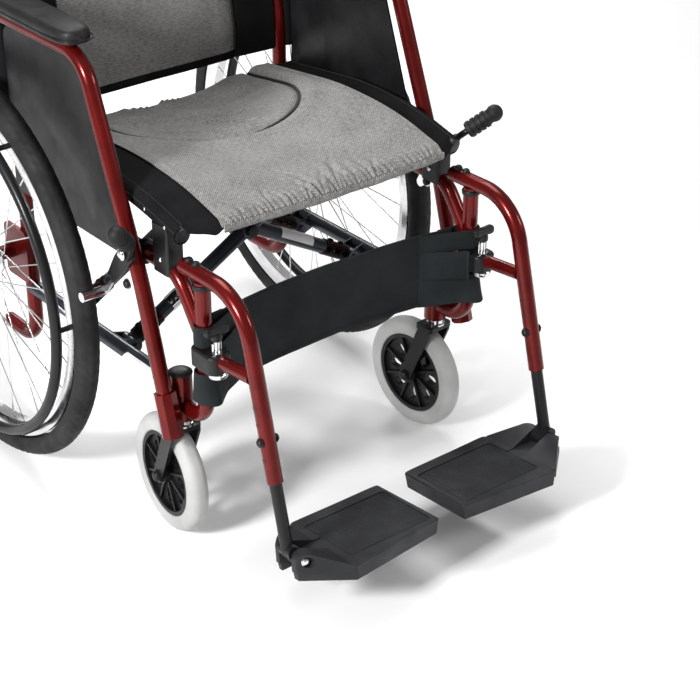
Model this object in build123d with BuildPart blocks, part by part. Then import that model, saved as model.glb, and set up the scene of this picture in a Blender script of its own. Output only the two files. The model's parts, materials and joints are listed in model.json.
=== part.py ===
from build123d import *
import math
import os

os.makedirs("parts", exist_ok=True)

# A folding self-propelled wheelchair. Millimetres, +Z up, floor at z = 0.
# The chair faces -Y and +X is the sitter's left. The origin is on the floor,
# under the middle of the chair. Everything in a pair is built once, on the
# left, and mirrored for the right.

# ---- driving dimensions ----
TUBE_R = 11.1            # 22 mm frame tube
WALL = 1.6
FIT = 0.05               # radial clearance of a running fit
GAP = 0.4                # clearance between curved faces of pieces that move apart
FRAME_X = 234.6          # plane of each side frame
POST_Y = -264            # vertical front post that the footrest hangs on
POST_TOP = 426
CANE_Y = POST_Y + 452    # rear upright
UPPER_Z = 430            # upper side rail
LOWER_Z = 248            # lower side rail
ARM_X = 264              # plane of the arm tube
ARM_Z = 690
ARM_LEAN = 0.2755          # rearward lean of the lower arm tube, mm per mm of height

WHEEL_X = 302.5
AXLE_Y = POST_Y + 475
WHEEL_R = 305            # 24 in rear wheel
RIM_R = 272
RIM_IN = 250
RIM_W = 24
HANDRIM_X = WHEEL_X + 30
HANDRIM_R = 256

STEM_X = 231.5           # caster stem
STEM_Y = POST_Y + 67
TRAIL = 40
CASTER_R = 88.8          # 7 in caster
CASTER_TURN = {"left": 4, "right": -5}    # degrees off straight ahead

BRACE_X = 212            # lower pivots of the cross brace
BRACE_Z = 240
BRACE_TOP_Z = 488.6      # height at which the arms reach the seat rails
BRACE_YS = (POST_Y + 238, POST_Y + 372)
BRACE_STEP = 13          # each arm stands this far to its own side of the cross bolt
CROSS_Z = BRACE_Z + (BRACE_TOP_Z - BRACE_Z) * BRACE_X / (BRACE_X + FRAME_X)
SEAT_FRONT = POST_Y + 17
SEAT_BACK = POST_Y + 430

HANGER_Z = 446           # top run of the swing-away footrest
LEG_LEAN = 0.2512        # forward lean of the footrest leg, mm per mm of height
LEG_Y = POST_Y - 113.7   # the leg at CROSS_TUBE_Z
CROSS_TUBE_Z = 347
LEG_END_Z = 203
EXTENSION_R = 8.6
FOOT_X = 228             # flip-up pivot of the footplate
FOOT_Y = POST_Y - 175
FOOT_Z = 102
FOOT_PITCH = 5           # degrees, toes up

BRAKE_X = 277
LEVER_PIVOT = (POST_Y + 104, 452)
LEVER_BEND = (POST_Y + 89.3, 468.4)
LEVER_BALL = (325, POST_Y + 53, 509)
SHOE_PIVOT = (POST_Y + 150, 395)
SHOE_BAR = (POST_Y + 164.5, 373)


def export(name, shape):
    """Label one finished piece and write its STEP."""
    shape.label = name
    export_step(shape, f"parts/{name}.step")


def export_pair(name, shape):
    """The left-hand piece as built, and its mirror image for the right-hand side."""
    export(f"left_{name}", shape)
    export(f"right_{name}", mirror(shape, about=Plane.YZ))


def export_caster_pair(name, shape):
    """A caster piece on each side, each turned about its own stem."""
    stem = Axis((STEM_X, STEM_Y, 0), (0, 0, 1))
    export(f"left_{name}", shape.rotate(stem, CASTER_TURN["left"]))
    export(f"right_{name}", mirror(shape.rotate(stem, -CASTER_TURN["right"]), about=Plane.YZ))


def sweep_tube(points, outer, bends=None, inner=0, mode=Mode.ADD):
    """Sweep a round tube or bar along straight runs joined by arcs."""
    with BuildLine() as route:
        if bends:
            FilletPolyline(*points, radius=bends)
        else:
            Line(*points)
    path = route.wire()
    with BuildSketch(Plane(path @ 0, z_dir=path % 0)) as section:
        Circle(outer)
        if inner:
            Circle(inner, mode=Mode.SUBTRACT)
    sweep(section.sketch, path=path, mode=mode)


def radial_plane(x, y, z):
    """A plane through a wheel's centre, with X across the wheel and Z outwards."""
    return Plane((x, y, z), x_dir=(1, 0, 0), z_dir=(0, -1, 0))


def leg_y(z):
    """Y of the footrest leg's centre line at height z."""
    return LEG_Y + (z - CROSS_TUBE_Z) * LEG_LEAN


# ---- side frame ----
# The front post turns back at its foot into the caster housing, which also
# carries the eight-sided socket of the arm tube.
HOUSING_R = 16.5
HOUSING_Z = (199, 269)
JOG_Z = 222
SOCKET_Z = (192, 256)
ARM_BEND_Z = 405


def arm_tube_y(z):
    """Y of the lower, straight part of the arm tube at height z."""
    return POST_Y + 100 + (z - ARM_BEND_Z) * ARM_LEAN


socket_plane = Plane((ARM_X, arm_tube_y(SOCKET_Z[0]), SOCKET_Z[0]), z_dir=(0, ARM_LEAN, 1))
with BuildPart() as front_post:
    sweep_tube(
        [(STEM_X, STEM_Y, JOG_Z), (FRAME_X, POST_Y, JOG_Z), (FRAME_X, POST_Y, POST_TOP)],
        TUBE_R,
        bends=40,
        inner=TUBE_R - WALL,
    )
    with BuildSketch(Plane.XY.offset(HOUSING_Z[0])):
        with Locations((STEM_X, STEM_Y)):
            Circle(HOUSING_R)
    extrude(amount=HOUSING_Z[1] - HOUSING_Z[0])
    with BuildSketch(socket_plane):
        RegularPolygon(radius=16, side_count=8)
    extrude(amount=SOCKET_Z[1] - SOCKET_Z[0])
    with BuildSketch(Plane.XY.offset(SOCKET_Z[0] + 12)):
        with Locations(((STEM_X + ARM_X) / 2, STEM_Y - 8)):
            Rectangle(ARM_X - STEM_X, 12)
    extrude(amount=36)
    with BuildSketch(socket_plane.offset(8)):
        Circle(TUBE_R + FIT)
    extrude(amount=80, mode=Mode.SUBTRACT)
    with BuildSketch(Plane.XY.offset(HOUSING_Z[0])):
        with Locations((STEM_X, STEM_Y)):
            Circle(8 + FIT)
    extrude(amount=64, mode=Mode.SUBTRACT)
export_pair("front_post", front_post.part)

# The upper rail ends in a curve that runs down into the back of the front post.
UPPER_BEND = 50
upper_rail_route = [
    (FRAME_X, CANE_Y, UPPER_Z),
    (FRAME_X, POST_Y + 56, UPPER_Z),
    (FRAME_X, POST_Y, 350),
]
with BuildPart() as upper_rail:
    sweep_tube(upper_rail_route, TUBE_R, bends=UPPER_BEND, inner=TUBE_R - WALL)
    for upright_y in (POST_Y, CANE_Y):
        with Locations((FRAME_X, upright_y, UPPER_Z)):
            Cylinder(TUBE_R + FIT, 400, mode=Mode.SUBTRACT)
    split(bisect_by=Plane((0, POST_Y, 0), z_dir=(0, 1, 0)), keep=Keep.TOP)
export_pair("upper_rail", upper_rail.part)

# The lower rail carries a pair of lugs, with a pivot stud, for each brace arm.
KNUCKLE_R = 12
KNUCKLE_HALF = 12
LUG_T = 3
STUD_R = 5
LEFT_ARM_YS = [y + BRACE_STEP for y in BRACE_YS]
RIGHT_ARM_YS = [y - BRACE_STEP for y in BRACE_YS]


def build_lower_rail(arm_ys):
    """Lower rail of the left side, with lugs for brace arms at these places."""
    with BuildPart() as lower_rail:
        sweep_tube(
            [(FRAME_X, STEM_Y, LOWER_Z), (FRAME_X, CANE_Y, LOWER_Z)],
            TUBE_R,
            inner=TUBE_R - WALL,
        )
        for arm_y in arm_ys:
            for lug_y in (arm_y - KNUCKLE_HALF - LUG_T - 0.3, arm_y + KNUCKLE_HALF + 0.3):
                with BuildSketch(Plane((0, lug_y, 0), x_dir=(1, 0, 0), z_dir=(0, -1, 0))):
                    with Locations((BRACE_X, BRACE_Z)):
                        Circle(KNUCKLE_R)
                    with Locations((FRAME_X, LOWER_Z)):
                        Circle(TUBE_R)
                    make_hull()
                extrude(amount=-LUG_T)
            stud_length = 2 * (KNUCKLE_HALF + LUG_T + 4)
            with Locations(Location((BRACE_X, arm_y, BRACE_Z), (90, 0, 0))):
                Cylinder(STUD_R, stud_length)
            with Locations(Location((FRAME_X, arm_y, LOWER_Z), (90, 0, 0))):
                Cylinder(TUBE_R - WALL - 0.2, stud_length, mode=Mode.SUBTRACT)
        with Locations((STEM_X, STEM_Y, LOWER_Z)):
            Cylinder(HOUSING_R + FIT, 100, mode=Mode.SUBTRACT)
        with Locations((FRAME_X, CANE_Y, LOWER_Z)):
            Cylinder(TUBE_R + FIT, 100, mode=Mode.SUBTRACT)
    return lower_rail.part


export("left_lower_rail", build_lower_rail(LEFT_ARM_YS))
export("right_lower_rail", mirror(build_lower_rail(RIGHT_ARM_YS), about=Plane.YZ))

# The rear upright: tipping tube at the foot, push handle at the top. A bolted
# plate on its outer side holds the receiver for the wheel's axle.
CANE_FOOT_Z = 157
CANE_BEND_Z = 560
CANE_TOP_Z = 905
CANE_LEAN = 0.14
HANDLE_LENGTH = 156
AXLE_R = 6.35
AXLE_PLATE_T = 6
cane_top_y = CANE_Y + (CANE_TOP_Z - CANE_BEND_Z) * CANE_LEAN

with BuildPart() as back_cane:
    sweep_tube(
        [
            (FRAME_X, CANE_Y + 85, CANE_FOOT_Z),
            (FRAME_X, CANE_Y, CANE_FOOT_Z),
            (FRAME_X, CANE_Y, CANE_BEND_Z),
            (FRAME_X, cane_top_y, CANE_TOP_Z),
            (FRAME_X, cane_top_y + HANDLE_LENGTH, CANE_TOP_Z - 8),
        ],
        TUBE_R,
        bends=[38, 200, 50],
        inner=TUBE_R - WALL,
    )
    with BuildSketch(Plane.YZ.offset(FRAME_X + TUBE_R - 0.5)):
        with Locations((CANE_Y + 12, WHEEL_R)):
            RectangleRounded(64, 84, 10)
    extrude(amount=AXLE_PLATE_T)
    with BuildSketch(Plane.YZ.offset(FRAME_X + 6)):
        with Locations((AXLE_Y, WHEEL_R)):
            Circle(11)
    extrude(amount=32)
    with BuildSketch(Plane.YZ.offset(FRAME_X)):
        with Locations((CANE_Y, ARM_Z)):
            Circle(9)
    extrude(amount=ARM_X - TUBE_R - FIT - FRAME_X)
    with BuildSketch(Plane.YZ.offset(FRAME_X)):
        with Locations((AXLE_Y, WHEEL_R)):
            Circle(AXLE_R + FIT)
    extrude(amount=60, mode=Mode.SUBTRACT)
export_pair("back_cane", back_cane.part)

# The arm tube leans back from its socket and turns level under the arm pad.
with BuildPart() as arm_tube:
    sweep_tube(
        [
            (ARM_X, arm_tube_y(SOCKET_Z[0] + 9), SOCKET_Z[0] + 9),
            (ARM_X, arm_tube_y(ARM_BEND_Z), ARM_BEND_Z),
            (ARM_X, POST_Y + 210, ARM_Z),
            (ARM_X, CANE_Y + 12, ARM_Z),
        ],
        TUBE_R,
        bends=[300, 55],
        inner=TUBE_R - WALL,
    )
export_pair("arm_tube", arm_tube.part)

ARM_PAD = (52, 235, 26)
with BuildPart() as arm_pad:
    with BuildSketch(Plane.XY.offset(ARM_Z + TUBE_R + FIT)):
        with Locations((ARM_X, POST_Y + 325)):
            RectangleRounded(ARM_PAD[0], ARM_PAD[1], 22)
    extrude(amount=ARM_PAD[2])
    fillet(arm_pad.faces().sort_by(Axis.Z)[-1].edges(), radius=9)
    fillet(arm_pad.faces().sort_by(Axis.Z)[0].edges(), radius=4)
export_pair("arm_pad", arm_pad.part)

# A rubber sleeve over the push handle, with a closed end and finger grooves.
GRIP_LENGTH = 108
handle_end = Vector(FRAME_X, cane_top_y + HANDLE_LENGTH, CANE_TOP_Z - 8)
handle_dir = Vector(0, HANDLE_LENGTH, -8).normalized()
with BuildPart() as push_grip:
    grip_start = handle_end - handle_dir * GRIP_LENGTH
    with BuildSketch(Plane(grip_start, z_dir=handle_dir)):
        Circle(15.5)
    extrude(amount=GRIP_LENGTH + 5)
    fillet(push_grip.edges().filter_by(GeomType.CIRCLE), radius=3.5)
    for groove in range(4):
        groove_center = grip_start + handle_dir * (22 + 20 * groove)
        with Locations(Plane(groove_center, z_dir=handle_dir)):
            Torus(22, 9, mode=Mode.SUBTRACT)
    with BuildSketch(Plane(grip_start, z_dir=handle_dir)):
        Circle(TUBE_R + FIT)
    extrude(amount=GRIP_LENGTH, mode=Mode.SUBTRACT)
export_pair("push_grip", push_grip.part)

# The clothing guard is a thin moulded panel between the seat and the wheel.
GUARD_T = 3
with BuildPart() as skirt_guard:
    with BuildSketch(Plane.YZ.offset(FRAME_X + TUBE_R + 3.6)):
        with BuildLine():
            FilletPolyline(
                (POST_Y + 128, 418),
                (POST_Y + 216, 668),
                (CANE_Y - 12, 668),
                (CANE_Y - 12, 418),
                radius=18,
                close=True,
            )
        make_face()
    extrude(amount=GUARD_T)
export_pair("skirt_guard", skirt_guard.part)

# The seat rail is bowed: it rises from the front edge and falls again to the rear.
# It stands over the upper rail, in two moulded cradles that it lifts out of.
SEAT_BEND = 600
seat_rail_route = [
    Vector(FRAME_X, POST_Y + 40, 485.5),
    Vector(FRAME_X, POST_Y + 179, 519.6),
    Vector(FRAME_X, SEAT_BACK - 4, 490),
]
with BuildPart() as seat_rail:
    sweep_tube(seat_rail_route, TUBE_R, bends=SEAT_BEND, inner=TUBE_R - WALL)
export_pair("seat_rail", seat_rail.part)

CRADLES = ((POST_Y + 76, 36), (POST_Y + 415, 26))
CRADLE_Z = (UPPER_Z - 8, 492)
with BuildPart() as seat_cradles:
    for cradle_y, cradle_length in CRADLES:
        with BuildSketch(Plane.XY.offset(CRADLE_Z[0])):
            with Locations((FRAME_X, cradle_y)):
                RectangleRounded(27, cradle_length, 4)
        extrude(amount=CRADLE_Z[1] - CRADLE_Z[0])
    sweep_tube(upper_rail_route, TUBE_R + FIT, bends=UPPER_BEND, mode=Mode.SUBTRACT)
    sweep_tube(seat_rail_route, TUBE_R + GAP, bends=SEAT_BEND, mode=Mode.SUBTRACT)
export_pair("seat_cradles", seat_cradles.part)

# ---- cross brace ----
# Each brace is a front and a rear arm. It turns on the studs of one side's lower
# rail and carries the seat rail of the other side.
CROSS_BOLT_R = 5


def build_brace(arm_ys):
    """The arms that turn on the left lower rail and carry the right seat rail."""
    low = Vector(BRACE_X, 0, BRACE_Z)
    high = Vector(-FRAME_X, 0, BRACE_TOP_Z)
    with BuildPart() as brace:
        for arm_y in arm_ys:
            level = Vector(0, arm_y, 0)
            sweep_tube([low + level, high + level], TUBE_R, inner=TUBE_R - WALL)
            for x, z, radius in ((BRACE_X, BRACE_Z, KNUCKLE_R), (0, CROSS_Z, 14)):
                with Locations(Location((x, arm_y, z), (90, 0, 0))):
                    Cylinder(radius, 2 * KNUCKLE_HALF)
            for x, z, radius in ((BRACE_X, BRACE_Z, STUD_R), (0, CROSS_Z, CROSS_BOLT_R)):
                with Locations(Location((x, arm_y, z), (90, 0, 0))):
                    Cylinder(radius + FIT, 60, mode=Mode.SUBTRACT)
            with Locations(Location((-FRAME_X, arm_y, BRACE_TOP_Z + 3), (90, 0, 0))):
                Cylinder(TUBE_R, 2 * KNUCKLE_HALF)
        far_rail = [Vector(-p.X, p.Y, p.Z) for p in seat_rail_route]
        sweep_tube(far_rail, TUBE_R + FIT, bends=SEAT_BEND, mode=Mode.SUBTRACT)
    return brace.part


export("left_cross_brace", build_brace(LEFT_ARM_YS))
export("right_cross_brace", mirror(build_brace(RIGHT_ARM_YS), about=Plane.YZ))

with BuildPart() as cross_bolts:
    for brace_y in BRACE_YS:
        with Locations(Location((0, brace_y, CROSS_Z), (90, 0, 0))):
            Cylinder(CROSS_BOLT_R, 58)
        for head_y in (brace_y - 28, brace_y + 28):
            with Locations(Location((0, head_y, CROSS_Z), (90, 0, 0))):
                Cylinder(9, 5)
export("cross_bolts", cross_bolts.part)

# ---- rear wheel ----
wheel_plane = radial_plane(WHEEL_X, AXLE_Y, WHEEL_R)
wheel_axis = Axis((WHEEL_X, AXLE_Y, WHEEL_R), (1, 0, 0))
TYRE_SECTION = 17.5

with BuildPart() as rear_tyre:
    with BuildSketch(wheel_plane):
        with Locations((0, WHEEL_R - TYRE_SECTION)):
            Circle(TYRE_SECTION)
        with Locations((0, RIM_R / 2)):
            Rectangle(3 * TYRE_SECTION, RIM_R + 2 * FIT, mode=Mode.SUBTRACT)
    revolve(axis=wheel_axis)
export_pair("rear_tyre", rear_tyre.part)

with BuildPart() as rear_rim:
    with BuildSketch(wheel_plane):
        with BuildLine():
            Polyline(
                (-RIM_W / 2, RIM_R),
                (-RIM_W / 2, RIM_R - 12),
                (-RIM_W / 2 + 3, RIM_IN),
                (RIM_W / 2 - 3, RIM_IN),
                (RIM_W / 2, RIM_R - 12),
                (RIM_W / 2, RIM_R),
                close=True,
            )
        make_face()
        with Locations((0, RIM_R)):
            Rectangle(RIM_W - 6, 32, mode=Mode.SUBTRACT)
    revolve(axis=wheel_axis)
export_pair("rear_rim", rear_rim.part)

FLANGE_R = 28
FLANGE_X = 20
with BuildPart() as rear_hub:
    with BuildSketch(Plane.YZ.offset(WHEEL_X - 26)):
        with Locations((AXLE_Y, WHEEL_R)):
            Circle(15)
    extrude(amount=52)
    for side in (-1, 1):
        with BuildSketch(Plane.YZ.offset(WHEEL_X + side * FLANGE_X - 1.5)):
            with Locations((AXLE_Y, WHEEL_R)):
                Circle(FLANGE_R)
        extrude(amount=3)
    with BuildSketch(Plane.YZ.offset(FRAME_X + 10)):
        with Locations((AXLE_Y, WHEEL_R)):
            Circle(AXLE_R)
    extrude(amount=WHEEL_X + 34 - FRAME_X - 10)
    fillet(rear_hub.faces().sort_by(Axis.X)[-1].edges(), radius=2)
export_pair("rear_hub", rear_hub.part)

# Tangent spokes, laced in turn to the inner and outer flange.
SPOKES = 36
SPOKE_R = 1.0
with BuildPart() as rear_spokes:
    for spoke in range(SPOKES):
        side = 1 if spoke % 2 else -1
        twist = 38 if spoke % 4 < 2 else -38
        rim_angle = math.radians(360 / SPOKES * spoke)
        hub_angle = rim_angle + math.radians(twist)
        hub_r = FLANGE_R + 1.2
        head = 2 if twist > 0 else -2
        foot = Vector(
            WHEEL_X + side * (FLANGE_X + head),
            AXLE_Y + hub_r * math.cos(hub_angle),
            WHEEL_R + hub_r * math.sin(hub_angle),
        )
        tip = Vector(
            WHEEL_X + side * 3,
            AXLE_Y + (RIM_IN - 0.5) * math.cos(rim_angle),
            WHEEL_R + (RIM_IN - 0.5) * math.sin(rim_angle),
        )
        with BuildSketch(Plane(foot, z_dir=tip - foot)):
            Circle(SPOKE_R)
        extrude(amount=(tip - foot).length)
export_pair("rear_spokes", rear_spokes.part)

HANDRIM_SECTION = 8
HANDRIM_TABS = 6
with BuildPart() as handrim:
    with BuildSketch(wheel_plane):
        with Locations((HANDRIM_X - WHEEL_X, HANDRIM_R)):
            Circle(HANDRIM_SECTION)
    revolve(axis=wheel_axis)
    with BuildSketch(Plane.YZ.offset(WHEEL_X + RIM_W / 2 + FIT)):
        with Locations((AXLE_Y, WHEEL_R)):
            with PolarLocations(HANDRIM_R + 6, HANDRIM_TABS):
                Circle(4)
    extrude(amount=HANDRIM_X - WHEEL_X - RIM_W / 2)
export_pair("handrim", handrim.part)

# ---- caster ----
CASTER_W = 28
FORK_IN = 19
FORK_T = 4
STEM_R = 8
CASTER_AXLE_R = 4
CROWN_Z = (181, 188)
caster_y = STEM_Y + TRAIL
with BuildPart() as caster_fork:
    with BuildSketch(Plane.XY.offset(CROWN_Z[0])):
        with Locations((STEM_X, STEM_Y + 3)):
            RectangleRounded(2 * (FORK_IN + FORK_T), 34, 6)
    extrude(amount=CROWN_Z[1] - CROWN_Z[0])
    for arm_x in (STEM_X - FORK_IN - FORK_T, STEM_X + FORK_IN):
        with BuildSketch(Plane.YZ.offset(arm_x)):
            with Locations((STEM_Y + 3, CROWN_Z[0] - 5)):
                Circle(12)
            with Locations((caster_y, CASTER_R)):
                Circle(11)
            make_hull()
        extrude(amount=FORK_T)
    with BuildSketch(Plane.YZ.offset(STEM_X - FORK_IN - FORK_T - 3)):
        with Locations((caster_y, CASTER_R)):
            Circle(7)
    extrude(amount=2 * (FORK_IN + FORK_T + 3))
    with BuildSketch(Plane.YZ.offset(STEM_X - FORK_IN)):
        with Locations((caster_y, CASTER_R)):
            Circle(8)
            Circle(CASTER_AXLE_R, mode=Mode.SUBTRACT)
    extrude(amount=2 * FORK_IN, mode=Mode.SUBTRACT)
    with BuildSketch(Plane.XY.offset(CROWN_Z[1] - 1)):
        with Locations((STEM_X, STEM_Y)):
            Circle(STEM_R)
    extrude(amount=HOUSING_Z[1] - CROWN_Z[1] - 7)
    with BuildSketch(Plane.XY.offset(CROWN_Z[1] - 1)):
        with Locations((STEM_X, STEM_Y)):
            RegularPolygon(radius=13, side_count=6)
    extrude(amount=11)
export_caster_pair("caster_fork", caster_fork.part)

caster_plane = radial_plane(STEM_X, caster_y, CASTER_R)
caster_axis = Axis((STEM_X, caster_y, CASTER_R), (1, 0, 0))
CASTER_RIM_R = 64
with BuildPart() as caster_tyre:
    with BuildSketch(caster_plane) as tread:
        with Locations((0, (CASTER_R + CASTER_RIM_R + FIT) / 2)):
            Rectangle(CASTER_W, CASTER_R - CASTER_RIM_R - FIT)
        fillet(tread.vertices().group_by(Axis.Y)[-1], radius=12)
        fillet(tread.vertices().group_by(Axis.Y)[0], radius=3)
    revolve(axis=caster_axis)
export_caster_pair("caster_tyre", caster_tyre.part)

# The moulded caster wheel: hub, rim and a web with eight long holes between ribs.
WEB_HOLES = 8
with BuildPart() as caster_wheel:
    with BuildSketch(Plane.YZ.offset(STEM_X - 12)):
        with Locations((caster_y, CASTER_R)):
            Circle(CASTER_RIM_R)
            Circle(CASTER_RIM_R - 6, mode=Mode.SUBTRACT)
    extrude(amount=24)
    with BuildSketch(Plane.YZ.offset(STEM_X - 5)):
        with Locations((caster_y, CASTER_R)):
            Circle(CASTER_RIM_R - 5)
            with PolarLocations(38, WEB_HOLES):
                SlotOverall(24, 15, mode=Mode.SUBTRACT)
    extrude(amount=10)
    with BuildSketch(Plane.YZ.offset(STEM_X - 10)):
        with Locations((caster_y, CASTER_R)):
            with PolarLocations(36, WEB_HOLES, start_angle=180 / WEB_HOLES):
                Rectangle(50, 3)
    extrude(amount=20)
    with BuildSketch(Plane.YZ.offset(STEM_X - FORK_IN + 0.5)):
        with Locations((caster_y, CASTER_R)):
            Circle(14)
    extrude(amount=2 * FORK_IN - 1)
    with BuildSketch(Plane.YZ.offset(STEM_X - 30)):
        with Locations((caster_y, CASTER_R)):
            Circle(CASTER_AXLE_R + FIT)
    extrude(amount=60, mode=Mode.SUBTRACT)
export_caster_pair("caster_wheel", caster_wheel.part)

# ---- swing-away footrest ----
# The hanger's pin drops into the open top of the front post. Its cross tube ends
# in the latch block, which grips the post.
PIN_R = TUBE_R - WALL - FIT
HEIGHT_BOLT_Z = 260
LATCH_TUBE_R = 9.5
leg_corner_y = leg_y(HANGER_Z)
latch_tube = [
    Vector(FRAME_X, POST_Y - 26, 331),
    Vector(FRAME_X, leg_y(339) + TUBE_R - 1, 339),
]
with BuildPart() as hanger_tube:
    sweep_tube(
        [
            (FRAME_X, POST_Y + 40, HANGER_Z - 2),
            (FRAME_X, leg_corner_y, HANGER_Z),
            (FRAME_X, leg_y(LEG_END_Z), LEG_END_Z),
        ],
        TUBE_R,
        bends=75,
        inner=TUBE_R - WALL,
    )
    sweep_tube(latch_tube, LATCH_TUBE_R)
    with BuildSketch(Plane.XY.offset(POST_TOP - 46)):
        with Locations((FRAME_X, POST_Y)):
            Circle(PIN_R)
    extrude(amount=HANGER_Z - TUBE_R + 1 - POST_TOP + 46)
    with BuildSketch(Plane.XY.offset(POST_TOP + 1)):
        with Locations((FRAME_X, POST_Y)):
            Circle(TUBE_R)
    extrude(amount=HANGER_Z - TUBE_R + 1.5 - POST_TOP - 1)
    with Locations(Location((FRAME_X, leg_y(HEIGHT_BOLT_Z), HEIGHT_BOLT_Z), (0, 90, 0))):
        Cylinder(3 + FIT, 60, mode=Mode.SUBTRACT)
export_pair("hanger_tube", hanger_tube.part)

LATCH_Z = (316, 342)
with BuildPart() as latch_block:
    with BuildSketch(Plane.XY.offset(LATCH_Z[0])):
        with Locations((FRAME_X, POST_Y - 13.5)):
            RectangleRounded(36, 55, 12)
        with Locations((FRAME_X, POST_Y)):
            Circle(TUBE_R + GAP, mode=Mode.SUBTRACT)
    extrude(amount=LATCH_Z[1] - LATCH_Z[0])
    fillet(latch_block.faces().sort_by(Axis.Z)[-1].outer_wire().edges(), radius=4)
    with BuildSketch(Plane(latch_tube[0], z_dir=latch_tube[1] - latch_tube[0])):
        Circle(LATCH_TUBE_R + FIT)
    extrude(amount=40, mode=Mode.SUBTRACT)
export_pair("latch_block", latch_block.part)

LATCH_PIN_Y = POST_Y - 28
with BuildPart() as latch_lever:
    with BuildSketch(Plane.XY.offset(LATCH_Z[1] + 0.6)):
        with Locations((FRAME_X, LATCH_PIN_Y)):
            Circle(3.5)
    extrude(amount=20)
    with BuildSketch(Plane.XY.offset(LATCH_Z[1] + 19)):
        with Locations((FRAME_X, LATCH_PIN_Y)):
            Circle(8)
    extrude(amount=10)
    with BuildSketch(Plane.XY.offset(LATCH_Z[1] + 28)):
        with Locations((FRAME_X, LATCH_PIN_Y)):
            SlotOverall(38, 13)
    extrude(amount=13)
    fillet(latch_lever.faces().sort_by(Axis.Z)[-1].edges(), radius=4)
export_pair("latch_lever", latch_lever.part)

# The extension tube slides in the leg and ends in the lug of the footplate.
foot_plane = Plane(
    (FOOT_X, FOOT_Y, FOOT_Z),
    x_dir=(1, 0, 0),
    z_dir=(0, math.sin(math.radians(FOOT_PITCH)), math.cos(math.radians(FOOT_PITCH))),
)
LUG_HALF = 13
LUG_R = 11
FOOT_BOLT_R = 4
lug_plane = Plane(foot_plane.origin, x_dir=(1, 0, 0), z_dir=foot_plane.y_dir)
with BuildPart() as extension_tube:
    sweep_tube(
        [
            (FRAME_X, leg_y(285), 285),
            (FRAME_X, leg_y(FOOT_Z + 4), FOOT_Z + 4),
        ],
        EXTENSION_R,
    )
    with BuildSketch(lug_plane.offset(-LUG_HALF)):
        Circle(LUG_R)
        with Locations((FRAME_X - FOOT_X, -8)):
            Circle(EXTENSION_R)
        make_hull()
    extrude(amount=2 * LUG_HALF)
    with BuildSketch(lug_plane.offset(-LUG_HALF)):
        Circle(FOOT_BOLT_R + 0.02)
    extrude(amount=2 * LUG_HALF, mode=Mode.SUBTRACT)
    with Locations(Location((FRAME_X, leg_y(HEIGHT_BOLT_Z), HEIGHT_BOLT_Z), (0, 90, 0))):
        Cylinder(3 + FIT, 60, mode=Mode.SUBTRACT)
export_pair("extension_tube", extension_tube.part)

# Footplate, in the pitched plane of its pivot: X across the chair, Y rearwards.
PLATE_TOP = -6
PLATE_T = 24
CHEEK_OUT = 28
RECESS = 1.5
CHANNEL_FLOOR, CHANNEL_TOP = PLATE_TOP - 1, 30
with BuildSketch(foot_plane.offset(PLATE_TOP)) as plate_outline:
    with BuildLine():
        FilletPolyline(
            (22 - FOOT_X, -60),
            (180 - FOOT_X, -77),
            (12, -24),
            (12, 22),
            (176 - FOOT_X, 73),
            (24 - FOOT_X, 71),
            radius=5,
            close=True,
        )
    make_face()
# The ramp that rises from the plate to the pivot, on both sides of the tube.
with BuildPart() as foot_ramp:
    with BuildSketch(lug_plane.offset(-90)):
        Circle(12)
        with Locations((-44, 12)):
            Rectangle(4, 12)
        with Locations((8, 12)):
            Rectangle(8, 12)
        make_hull()
    extrude(amount=180)
    extrude(plate_outline.sketch, amount=30, both=True, mode=Mode.INTERSECT)
with BuildPart() as footplate:
    extrude(plate_outline.sketch, amount=-PLATE_T, taper=8)
    chamfer(footplate.faces().sort_by(Axis.Z)[-1].edges(), length=2)
    with BuildSketch(foot_plane.offset(PLATE_TOP)):
        with Locations((101 - FOOT_X, -1)):
            RectangleRounded(140, 104, 6)
    extrude(amount=-RECESS, mode=Mode.SUBTRACT)
    add(foot_ramp.part)
    with BuildSketch(lug_plane.offset(-LUG_HALF - GAP)):
        Circle(LUG_R + 1.5)
        with Locations((FRAME_X - FOOT_X, 0)):
            Rectangle(30, 60)
        # The tube lies in this channel when the plate is flipped up.
        with Locations((-34, -(CHANNEL_FLOOR + CHANNEL_TOP) / 2)):
            Rectangle(60, CHANNEL_TOP - CHANNEL_FLOOR)
    extrude(amount=2 * (LUG_HALF + GAP), mode=Mode.SUBTRACT)
    for head_start, head_reach in ((-CHEEK_OUT, -40), (CHEEK_OUT, 40)):
        with BuildSketch(lug_plane.offset(head_start)):
            Circle(8)
        extrude(amount=head_reach, mode=Mode.SUBTRACT)
    with BuildSketch(lug_plane.offset(-60)):
        Circle(FOOT_BOLT_R + FIT)
    extrude(amount=120, mode=Mode.SUBTRACT)
export_pair("footplate", footplate.part)

# Bolts of the footrest: footplate pivot, height bolt, two domed bolts on top and
# the washer under the latch.
with BuildPart() as hanger_bolts:
    with BuildSketch(lug_plane.offset(-CHEEK_OUT - 1)):
        Circle(FOOT_BOLT_R)
    extrude(amount=2 * CHEEK_OUT + 2)
    for head in (-CHEEK_OUT - 4.3, CHEEK_OUT + 0.3):
        with BuildSketch(lug_plane.offset(head)):
            Circle(5.5)
        extrude(amount=4)
    bolt_y = leg_y(HEIGHT_BOLT_Z)
    with Locations(Location((FRAME_X, bolt_y, HEIGHT_BOLT_Z), (0, 90, 0))):
        Cylinder(3, 2 * TUBE_R + 4)
    for head_x in (FRAME_X - TUBE_R - 2.2, FRAME_X + TUBE_R + 2.2):
        with Locations(Location((head_x, bolt_y, HEIGHT_BOLT_Z), (0, 90, 0))):
            Cylinder(6, 4)
    for top_y in (POST_Y + 12, POST_Y + 28):
        with Locations((FRAME_X, top_y, HANGER_Z + TUBE_R + 1)):
            Cylinder(5.5, 4)
    with Locations((FRAME_X, POST_Y - 28, LATCH_Z[0] - 4.4)):
        Cylinder(14, 8)
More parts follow.
